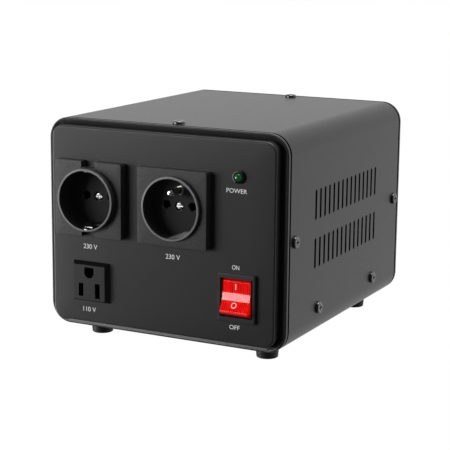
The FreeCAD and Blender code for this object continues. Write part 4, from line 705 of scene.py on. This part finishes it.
class Repeat(Layout):
    """A tree that lays copies of one mesh along a rule, and bakes them to a plain mesh."""

    def __init__(self, name: str, **sizes: str) -> None:
        """Start a tree.

        Args:
            name: Name of the tree.
            sizes: Names of its inputs, with the types of their sockets.
        """
        super().__init__(name)
        sizes["Material"] = "NodeSocketMaterial"
        self.sockets = {size: self.size(size, kind).identifier for size, kind in sizes.items()}

    def close(self, laid: bpy.types.Node) -> None:
        """Realize the copies, set their material and end the tree.

        Args:
            laid: Node that lays out the copies.
        """
        realize = self.add("GeometryNodeRealizeInstances")
        dress = self.add("GeometryNodeSetMaterial")
        self.wire((laid, "Instances", realize, "Geometry"), (realize, "Geometry", dress, "Geometry"),
                  (self.start, "Material", dress, "Material"), (dress, "Geometry", self.end, "Geometry"))

    def bake(self, name: str, seed_mesh: bpy.types.Mesh, **values: object) -> bpy.types.Object:
        """Run the tree on a mesh and keep the result as a plain mesh.

        Args:
            name: Name of the piece.
            seed_mesh: Mesh that is laid out.
            values: Values of the named inputs.

        Returns:
            The piece.
        """
        host = link_mesh(name + "_seed", seed_mesh)
        modifier = host.modifiers.new("layout", "NODES")
        modifier.node_group = self.tree
        for key, value in values.items():
            modifier[self.sockets[key]] = value
        bpy.context.view_layer.update()
        graph = bpy.context.evaluated_depsgraph_get()
        mesh = bpy.data.meshes.new_from_object(host.evaluated_get(graph))
        mesh.name = name
        host.modifiers.clear()
        bpy.data.objects.remove(host)
        return link_mesh(name, mesh)


def smooth_by_angle(degrees: float, merge_distance: float) -> bpy.types.NodeTree:
    """Geometry nodes that merge loose triangles and shade them smooth up to an angle.

    Args:
        degrees: Largest angle between two faces that is shaded smooth.
        merge_distance: Distance up to which two corners become one.

    Returns:
        The tree.
    """
    layout = Layout("smooth_shading")
    layout.size("Angle", "NodeSocketFloat").default_value = math.radians(degrees)
    merge = layout.add("GeometryNodeMergeByDistance")
    merge.inputs["Distance"].default_value = merge_distance
    angle = layout.add("GeometryNodeInputMeshEdgeAngle")
    soft = layout.add("FunctionNodeCompare", data_type="FLOAT", operation="LESS_EQUAL")
    faces = layout.add("GeometryNodeSetShadeSmooth", domain="FACE")
    edges = layout.add("GeometryNodeSetShadeSmooth", domain="EDGE")
    layout.wire((layout.start, "Geometry", merge, "Geometry"), (angle, "Unsigned Angle", soft, 0),
                (layout.start, "Angle", soft, 1), (merge, "Geometry", faces, "Geometry"),
                (faces, "Geometry", edges, "Geometry"), (soft, "Result", edges, "Shade Smooth"),
                (edges, "Geometry", layout.end, "Geometry"))
    return layout.tree


def row_layout() -> Repeat:
    """Tree that lays a mesh in an even row along X, about its own place.

    Returns:
        The tree, with the inputs Count and Pitch.
    """
    repeat = Repeat("row_layout", Count="NodeSocketInt", Pitch="NodeSocketFloat")
    start = repeat.start
    line = repeat.add("GeometryNodeMeshLine", mode="OFFSET")
    gaps = repeat.add("ShaderNodeMath", operation="SUBTRACT")
    span = repeat.add("ShaderNodeMath", operation="MULTIPLY")
    half = repeat.add("ShaderNodeMath", operation="MULTIPLY")
    step = repeat.add("ShaderNodeCombineXYZ")
    first = repeat.add("ShaderNodeCombineXYZ")
    laid = repeat.add("GeometryNodeInstanceOnPoints")
    gaps.inputs[1].default_value = 1.0
    half.inputs[1].default_value = -0.5
    repeat.wire((start, "Count", gaps, 0), (gaps, "Value", span, 0), (start, "Pitch", span, 1),
                (span, "Value", half, 0), (start, "Pitch", step, "X"), (half, "Value", first, "X"),
                (start, "Count", line, "Count"), (step, "Vector", line, "Offset"),
                (first, "Vector", line, "Start Location"), (line, "Mesh", laid, "Points"),
                (start, "Geometry", laid, "Instance"))
    repeat.close(laid)
    return repeat


def ring_layout() -> Repeat:
    """Tree that lays a mesh evenly round an upright axis through a centre.

    Returns:
        The tree, with the inputs Count and Centre.
    """
    repeat = Repeat("ring_layout", Count="NodeSocketInt", Centre="NodeSocketVector")
    start = repeat.start
    line = repeat.add("GeometryNodeMeshLine", mode="OFFSET")
    index = repeat.add("GeometryNodeInputIndex")
    share = repeat.add("ShaderNodeMath", operation="DIVIDE")
    angle = repeat.add("ShaderNodeMath", operation="MULTIPLY")
    aim = repeat.add("ShaderNodeCombineXYZ")
    laid = repeat.add("GeometryNodeInstanceOnPoints")
    angle.inputs[1].default_value = 2 * math.pi
    line.inputs["Offset"].default_value = (0.0, 0.0, 0.0)
    repeat.wire((start, "Count", line, "Count"), (start, "Centre", line, "Start Location"),
                (index, "Index", share, 0), (start, "Count", share, 1), (share, "Value", angle, 0),
                (angle, "Value", aim, "Z"), (line, "Mesh", laid, "Points"), (aim, "Vector", laid, "Rotation"),
                (start, "Geometry", laid, "Instance"))
    repeat.close(laid)
    return repeat


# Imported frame


class Converter:
    """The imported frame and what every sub-assembly needs from it."""

    def __init__(self) -> None:
        """Load the frame and keep the box that it fills."""
        self.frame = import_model()
        self.cad_box = [list(corner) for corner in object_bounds()]
        self.smooth = smooth_by_angle(degrees=28.0, merge_distance=0.000002)
        self.materials: dict[str, bpy.types.Material] = {}

    def low(self, node: str) -> Vector:
        """Lowest corner of a node."""
        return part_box(node)[0]

    def high(self, node: str) -> Vector:
        """Highest corner of a node."""
        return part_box(node)[1]

    def middle(self, node: str) -> Vector:
        """Centre of a node's box."""
        return (self.low(node) + self.high(node)) / 2

    def material(self, finish: Finish) -> bpy.types.Material:
        """Material of a finish.

        Args:
            finish: The finish.

        Returns:
            Its material, built at the first request.
        """
        if finish.name not in self.materials:
            self.materials[finish.name] = finish.build()
        return self.materials[finish.name]

    def coat(self, piece: bpy.types.Object, finish: Finish) -> None:
        """Give a piece a finish in place of any that it has."""
        piece.data.materials.clear()
        piece.data.materials.append(self.material(finish))

    def dress(self, node: str, finish: Finish) -> None:
        """Give a node a finish."""
        self.coat(self.frame["nodes"][node], finish)
        LOG.info("dressed %s in %s", node, finish.name)

    def dress_by_slot(self) -> None:
        """Give every node the finish of its slot and smooth shading."""
        for row in self.frame["record"]["subparts"]:
            self.dress(row["node"], SLOT_FINISHES[row["material_slot"]])
            self.frame["nodes"][row["node"]].modifiers.new("smooth", "NODES").node_group = self.smooth

    def add(self, piece: bpy.types.Object, body: Body, finish: Finish, slot: Slot | None = None) -> None:
        """Dress a piece and let it ride on a body.

        Args:
            piece: The piece, with its place in its mesh.
            body: Body that carries it.
            finish: Its finish.
            slot: Not used.
        """
        self.coat(piece, finish)
        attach(piece, body.value)
        LOG.info("made %s, %d faces", piece.name, len(piece.data.polygons))


# Case, outlets and lamp


@dataclass
class Case:
    """Painted cover and the two moulded end panels, with painted shade in the joints between them."""

    converter: Converter
    joint: float = 0.00202
    skin: float = 0.00006

    def build(self) -> None:
        """Dress the cover and the panels."""
        front = self.converter.low("cover_shell").y
        rear = self.converter.high("cover_shell").y
        # Painted shade: the cover's cut ends and the panels in the joint are dark and dull.
        cover = replace(COVER, name="cover_paint", shade_limit_front=front + self.skin, shade_limit_rear=rear - self.skin)
        panel = replace(PANEL, name="panel_moulding", shade_limit_front=front - self.joint,
                        shade_limit_rear=rear + self.joint)
        self.converter.dress("cover_shell", cover)
        self.converter.dress("front_panel", panel)
        self.converter.dress("rear_panel", panel)


@dataclass
class Outlets:
    """The two round outlets and the flat-blade outlet."""

    converter: Converter
    round_outlets: tuple[str, str] = ("socket_f", "socket_e")

    def build(self) -> None:
        """Dress the mouldings and their contacts."""
        for outlet in self.round_outlets:
            middle = self.converter.middle(outlet + "_body")
            moulding = replace(ROUND_OUTLET, name=outlet + "_moulding", centre_x=middle.x, centre_z=middle.z)
            self.converter.dress(outlet + "_body", moulding)
            # Painted shade: the contacts are darkened so that the pin holes look black inside.
            self.converter.dress(outlet + "_contacts", PAINTED_SHADE_BRASS)
        self.converter.dress("blade_outlet_contacts", PAINTED_SHADE_BRASS)


@dataclass
class IndicatorLamp:
    """The indicator lamp beside the switch."""

    converter: Converter

    def build(self) -> None:
        """Dress the bezel."""
        self.converter.dress("lamp_bezel", GLOSS_BLACK)


# Print on the front panel


@dataclass(frozen=True)
class Lettering:
    """One printed word: the node that it belongs to, its place from there and its size."""

    name: str
    words: str
    node: str
    across: float
    above: float
    cap_height: float
    width: float = 0.0


@dataclass
class FrontPrint:
    """Printed words and numbers on the front panel."""

    converter: Converter
    proud: float = 0.00004
    thickness: float = 0.00004
    thinning: float = 0.006
    words: tuple[Lettering, ...] = (
        Lettering("print_left_outlet", "230 V", "socket_f_body", -0.0022, -0.0328, 0.0032),
        Lettering("print_middle_outlet", "230 V", "socket_e_body", -0.0022, -0.0328, 0.0032),
        Lettering("print_lower_outlet", "110 V", "blade_outlet_body", -0.0022, -0.0192, 0.0032),
        Lettering("print_lamp", "POWER", "lamp_bezel", -0.0016, -0.0090, 0.0028, 0.0144),
        Lettering("print_switch_on", "ON", "switch_housing", -0.0016, 0.0194, 0.0029, 0.0051),
        Lettering("print_switch_off", "OFF", "switch_housing", -0.0020, -0.0196, 0.0029, 0.0073),
    )

    def build(self) -> None:
        """Print all words."""
        for word in self.words:
            self.print_word(word)

    def word_mesh(self, word: Lettering) -> bpy.types.Mesh:
        """Mesh of a word as the typeface has it, level and at its own size.

        Args:
            word: The word.

        Returns:
            The mesh.
        """
        curve = bpy.data.curves.new(word.name, "FONT")
        curve.body = word.words
        curve.align_x = "CENTER"
        curve.extrude = self.thickness / 2
        curve.offset = self.thinning
        text = bpy.data.objects.new(word.name, curve)
        bpy.context.scene.collection.objects.link(text)
        mesh = bpy.data.meshes.new_from_object(text.evaluated_get(bpy.context.evaluated_depsgraph_get()))
        bpy.data.objects.remove(text)
        return mesh

    def print_word(self, word: Lettering) -> None:
        """Print one word on the panel.

        Args:
            word: The word, its place and its size.
        """
        node = self.converter.middle(word.node)
        front = self.converter.low("front_panel").y - self.proud - self.thickness / 2
        mesh = self.word_mesh(word)
        widths = [vertex.co.x for vertex in mesh.vertices]
        heights = [vertex.co.y for vertex in mesh.vertices]
        middle_x = (max(widths) + min(widths)) / 2
        middle_y = (max(heights) + min(heights)) / 2
        scale = word.cap_height / (max(heights) - min(heights))
        stretch = word.width / (max(widths) - min(widths)) if word.width > 0 else scale
        for vertex in mesh.vertices:
            x = node.x + word.across + (vertex.co.x - middle_x) * stretch
            z = node.z + word.above + (vertex.co.y - middle_y) * scale
            vertex.co = (x, front - vertex.co.z, z)
        self.converter.add(link_mesh(word.name, mesh), Body.CASE, INK_WITH_PAINTED_GLOW)


# Switch


@dataclass
class RockerSwitch:
    """Frame, lit rocker, its marks and its grip ribs, at rest with the upper end pressed in."""

    converter: Converter
    pivot_depth: float = 0.0015
    valley: float = 0.0040
    middle: float = 0.0073
    end: float = 0.0065
    tilt: float = 14.0
    edge_margin: float = 0.0008
    opening_margin: float = 0.0005
    opening_height: float = 0.0253
    end_margin: float = 0.0008
    bar_size: Pair = (0.00062, 0.0037)
    bar_place: float = 0.42
    ring_size: Pair = (0.0019, 0.0014)
    ring_place: float = 0.28
    ring_steps: int = 48
    mark_shift: float = -0.0006
    mark_proud: float = 0.00005
    mark_sunk: float = 0.00002
    rib_count: int = 19
    rib_pitch: float = 0.00096
    rib_width: float = 0.00055
    rib_reach: float = 0.0011
    rib_inset: float = 0.55
    rib_proud: float = 0.00013
    rib_section: tuple[Pair, ...] = ((-1.0, -0.4), (-0.7, 0.7), (-0.25, 1.0),
                                     (0.25, 1.0), (0.7, 0.7), (1.0, -0.4))
    rib_run: tuple[Pair, ...] = ((-0.5, 0.0), (-0.38, 1.0), (0.38, 1.0), (0.5, 0.0))

    def place(self, ahead: float, height: float) -> Vector:
        """Place at rest of a point half-way across, known from the pivot with the rocker level.

        Args:
            ahead: Distance in front of the pivot.
            height: Distance above the pivot.

        Returns:
            Its place.
        """
        pivot = Vector((self.converter.middle("switch_rocker").x,
                        self.converter.low("front_panel").y + self.pivot_depth,
                        self.converter.middle("switch_lamp").z))
        return pivot + Matrix.Rotation(math.radians(-self.tilt), 3, "X") @ Vector((0, -ahead, height))

    def flat(self, end: int) -> tuple[Vector, Vector]:
        """Inner and outer edge of an end flat.

        Args:
            end: 1 for the upper flat and -1 for the lower one.

        Returns:
            Both edges, half-way across.
        """
        slope = math.radians(self.tilt)
        inner = self.place(self.valley, end * self.middle / 2)
        outer = self.place(self.valley + self.end * math.sin(slope),
                           end * (self.middle / 2 + self.end * math.cos(slope)))
        return inner, outer

    def build(self) -> None:
        """Dress the frame and the rocker, and make the two marks and the two rows of ribs."""
        low, high = self.converter.low("switch_rocker"), self.converter.high("switch_rocker")
        pivot_z = self.converter.middle("switch_lamp").z
        # The frame gets painted shade in the rocker's opening and along its left edge.
        frame = replace(SWITCH_FRAME, low_x=low.x - self.opening_margin, high_x=high.x + self.opening_margin,
                        low_z=pivot_z - self.opening_height / 2, high_z=pivot_z + self.opening_height / 2,
                        shaded_left_edge=self.converter.low("switch_housing").x + self.edge_margin)
        # The rocker's ends beyond the ridges get painted shade.
        lit = replace(RED, name="red_rocker_body", upper_end=self.flat(1)[1].z - self.end_margin,
                      lower_end=self.flat(-1)[1].z - self.end_margin)
        self.converter.dress("switch_housing", frame)
        self.converter.dress("switch_rocker", lit)
        self.bar_mark()
        self.ring_mark()
        self.grip_ribs("rocker_upper_ribs", 1)
        self.grip_ribs("rocker_lower_ribs", -1)

    def print_mark(self, name: str, outline: list[list[Pair]], end: int, share: float) -> None:
        """Flat printed mark on an end flat.

        Args:
            name: Name of the piece.
            outline: Its outer loop, and its inner one if it is open, as across and along values.
            end: 1 for the upper flat and -1 for the lower one.
            share: Place of its centre from the inner to the outer edge of the flat.
        """
        inner, outer = self.flat(end)
        along = (outer - inner).normalized() * end
        across = Vector((1, 0, 0))
        out = across.cross(along)
        centre = inner.lerp(outer, share) + across * self.mark_shift
        layers = ((-self.mark_sunk, outline), (self.mark_proud, outline[::-1]))
        rows = [[centre + across * a + along * b + out * lift for a, b in loop]
                for lift, loops in layers for loop in loops]
        mesh = tube(name, rows, ring=len(outline) > 1)
        self.converter.add(link_mesh(name, mesh), Body.ROCKER, MARK)

    def bar_mark(self) -> None:
        """Upright bar on the upper flat."""
        half, tall = self.bar_size[0] / 2, self.bar_size[1] / 2
        corners = [(-half, -tall), (half, -tall), (half, tall), (-half, tall)]
        self.print_mark("rocker_bar_mark", [corners], 1, self.bar_place)

    def ring_mark(self) -> None:
        """Ring on the lower flat."""
        turns = [2 * math.pi * step / self.ring_steps for step in range(self.ring_steps)]
        circles = [[(radius * math.cos(turn), radius * math.sin(turn)) for turn in turns]
                   for radius in self.ring_size]
        self.print_mark("rocker_ring_mark", circles, -1, self.ring_place)

    def grip_ribs(self, name: str, end: int) -> None:
        """Row of small grip ribs over one ridge.

        Args:
            name: Name of the piece.
            end: 1 for the upper ridge and -1 for the lower one.
        """
        inner, outer = self.flat(end)
        along = (outer - inner).normalized()
        out = Vector((0, -along.z, -along.y)) * end
        across = Vector((self.rib_width / 2, 0, 0))
        centre = outer - along * (self.rib_reach * self.rib_inset)
        rows = []
        for run, lift in self.rib_run:
            start = centre + along * (self.rib_reach * run)
            section = [(side, height * lift if height > 0 else height) for side, height in self.rib_section]
            rows.append([start + across * side + out * (self.rib_proud * height) for side, height in section])
        piece = row_layout().bake(name, tube(name, rows, smooth=True), Count=self.rib_count,
                                  Pitch=self.rib_pitch, Material=self.converter.material(RED))
        self.converter.add(piece, Body.ROCKER, RED, Slot.ROCKER)


# Transformer


@dataclass
class Transformer:
    """The ring transformer, whose winding is bound with overlapping turns of tape."""

    converter: Converter
    turns: int = 60
    bore_radius: float = 0.024
    step: float = 0.0005
    overlap: float = 1.25
    fullness: float = 0.9225
    rounding: float = 0.0115
    rounding_share: float = 2.2
    corner_steps: int = 6
    tape_section: tuple[Pair, ...] = ((-1.0, 2.2), (-0.9, 1.0), (0.9, 0.0), (1.0, 1.2))

    def profile(self, inset: float) -> list[Pair]:
        """Section of the ring as radius and height, drawn in by an inset.

        Args:
            inset: Distance inside the ring's full size.

        Returns:
            The points, in order round the section.
        """
        low, high = self.converter.low("transformer_winding"), self.converter.high("transformer_winding")
        inner = self.bore_radius + inset
        outer = (high.y - low.y) / 2 * self.fullness - inset
        radius = min(self.rounding, (outer - inner) / self.rounding_share)
        bottom, top = low.z + inset + radius, high.z - inset - radius
        corners = ((outer - radius, bottom, -90), (outer - radius, top, 0),
                   (inner + radius, top, 90), (inner + radius, bottom, 180))
        points = []
        for centre_r, centre_z, first in corners:
            for part in range(self.corner_steps + 1):
                angle = math.radians(first + 90 * part / self.corner_steps)
                points.append((centre_r + radius * math.cos(angle), centre_z + radius * math.sin(angle)))
        return points

    def build(self) -> None:
        """Wind the tape."""
        half = math.pi / self.turns * self.overlap
        rows = []
        for share, inset in self.tape_section:
            angle = half * share
            rows.append([Vector((radius * math.cos(angle), radius * math.sin(angle), height))
                         for radius, height in self.profile(self.step * inset)])
        centre = self.converter.middle("transformer_winding")
        piece = ring_layout().bake("tape_winding", tube("tape_turn", rows, smooth=True), Count=self.turns,
                                   Centre=(centre.x, centre.y, 0.0),
                                   Material=self.converter.material(TAPE))
        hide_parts("transformer_winding")
        self.converter.add(piece, Body.CASE, TAPE, Slot.TAPE)


# Studio


@dataclass(frozen=True)
class SoftBox:
    """Soft box: its direction and distance from what it looks at, its size and its face's brightness."""

    name: str
    direction: Triple
    distance: float
    size: Pair
    radiance: float

    def build(self, aim: Vector) -> None:
        """Put up the lamp.

        Args:
            aim: Point that it looks at.
        """
        data = bpy.data.lights.new(self.name, "AREA")
        data.shape = "RECTANGLE"
        data.size, data.size_y = self.size
        data.energy = self.radiance * math.pi * self.size[0] * self.size[1]
        lamp = bpy.data.objects.new(self.name, data)
        lamp.location = aim + Vector(self.direction).normalized() * self.distance
        lamp.rotation_euler = (aim - lamp.location).to_track_quat("-Z", "Y").to_euler()
        bpy.context.scene.collection.objects.link(lamp)
        lamp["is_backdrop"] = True


@dataclass
class Studio:
    """Floor, surroundings, soft boxes and camera, placed from the plane of the front face."""

    converter: Converter
    floor_size: float = 80.0
    front_rise: Pair = (-0.45, 0.1)
    front_glow: Pair = (0.05, 0.07)
    back_rise: Pair = (-0.9, -0.3)
    back_glow: Pair = (0.3, 0.82)
    turn_to_back: Pair = (-0.35, 0.45)
    face_aim: Triple = (0.056, 0.0, 0.046)
    case_aim: Triple = (0.0, 0.0, 0.08)
    key: SoftBox = SoftBox("key_box", (-0.636, -0.772, 0.20), 1.5, (0.80, 0.44), 7.3)
    fill: SoftBox = SoftBox("fill_box", (-0.86, -0.46, -0.22), 1.6, (0.8, 1.0), 10.0)
    overhead: SoftBox = SoftBox("overhead_box", (0.05, 0.1, 1.0), 1.7, (1.3, 1.0), 4.5)
    eye: Triple = (0.4500, -0.7876, 0.2749)
    yaw: float = 27.10
    pitch: float = 11.71
    roll: float = 0.55
    lens: float = 115.38
    sensor: float = 36.0
    clip: Pair = (0.05, 150.0)

    def build(self) -> None:
        """Set up the whole studio."""
        self.build_floor()
        self.build_surroundings()
        self.build_lamps()
        self.build_camera()
        view = bpy.context.scene.view_settings
        view.view_transform = "Standard"
        view.look = "None"

    def before_face(self, point: Triple) -> Vector:
        """Place of a point whose Y is known from the front face."""
        return Vector(point) + Vector((0, self.converter.low("front_panel").y, 0))

    def build_floor(self) -> None:
        """White floor under the feet that takes no shadow, left out of what glossy surfaces mirror."""
        half = self.floor_size / 2
        mesh = bpy.data.meshes.new("floor")
        corners = [(-half, -half, 0), (half, -half, 0), (half, half, 0), (-half, half, 0)]
        mesh.from_pydata(corners, [], [(0, 1, 2, 3)])
        mesh.materials.append(self.converter.material(PAPER))
        floor = link_mesh("floor", mesh)
        floor.visible_glossy = False
        floor.visible_diffuse = False
        floor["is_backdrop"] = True

    def build_surroundings(self) -> None:
        """Surroundings that are pale behind the part, and dark in front of it and under it."""
        world = bpy.data.worlds.new("studio")
        world.use_nodes = True
        graph = Graph(world.node_tree)
        split = graph.add("ShaderNodeSeparateXYZ")
        graph.join(graph.add("ShaderNodeTexCoord").outputs["Generated"], split.inputs["Vector"])
        mix = graph.add("ShaderNodeMix")
        graph.join(graph.ramp(split.outputs["Y"], self.turn_to_back, (0.0, 1.0), True), mix.inputs["Factor"])
        graph.join(graph.ramp(split.outputs["Z"], self.front_rise, self.front_glow, True), mix.inputs["A"])
        graph.join(graph.ramp(split.outputs["Z"], self.back_rise, self.back_glow, True), mix.inputs["B"])
        background = graph.tree.nodes["Background"]
        background.inputs["Color"].default_value = (1.0, 1.0, 1.0, 1.0)
        graph.join(mix.outputs["Result"], background.inputs["Strength"])
        bpy.context.scene.world = world

    def build_lamps(self) -> None:
        """Key box in front, to the left, a tall fill box beside it and a wide one overhead."""
        face = self.before_face(self.face_aim)
        self.key.build(face)
        self.fill.build(face)
        self.overhead.build(Vector(self.case_aim))

    def build_camera(self) -> None:
        """Camera at the place that the photograph was taken from."""
        yaw, pitch, roll = (math.radians(angle) for angle in (self.yaw, self.pitch, self.roll))
        forward = Vector((-math.sin(yaw) * math.cos(pitch), math.cos(yaw) * math.cos(pitch),
                          -math.sin(pitch)))
        level = Vector((math.cos(yaw), math.sin(yaw), 0))
        upright = level.cross(forward)
        right = level * math.cos(roll) + upright * math.sin(roll)
        up = upright * math.cos(roll) - level * math.sin(roll)
        data = bpy.data.cameras.new("camera")
        data.lens = self.lens
        data.sensor_width = self.sensor
        data.clip_start, data.clip_end = self.clip
        camera = bpy.data.objects.new("camera", data)
        turn = Matrix((right, up, -forward)).transposed().to_4x4()
        camera.matrix_world = Matrix.Translation(self.before_face(self.eye)) @ turn
        bpy.context.scene.collection.objects.link(camera)
        bpy.context.scene.camera = camera


def main() -> None:
    """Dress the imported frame, add the printed and small pieces, and set up the studio."""
    logging.basicConfig(level=logging.INFO, format="%(message)s")
    converter = Converter()
    converter.dress_by_slot()
    Case(converter).build()
    Outlets(converter).build()
    IndicatorLamp(converter).build()
    RockerSwitch(converter).build()
    FrontPrint(converter).build()
    Transformer(converter).build()
    Studio(converter).build()


if __name__ == "__main__":
    main()
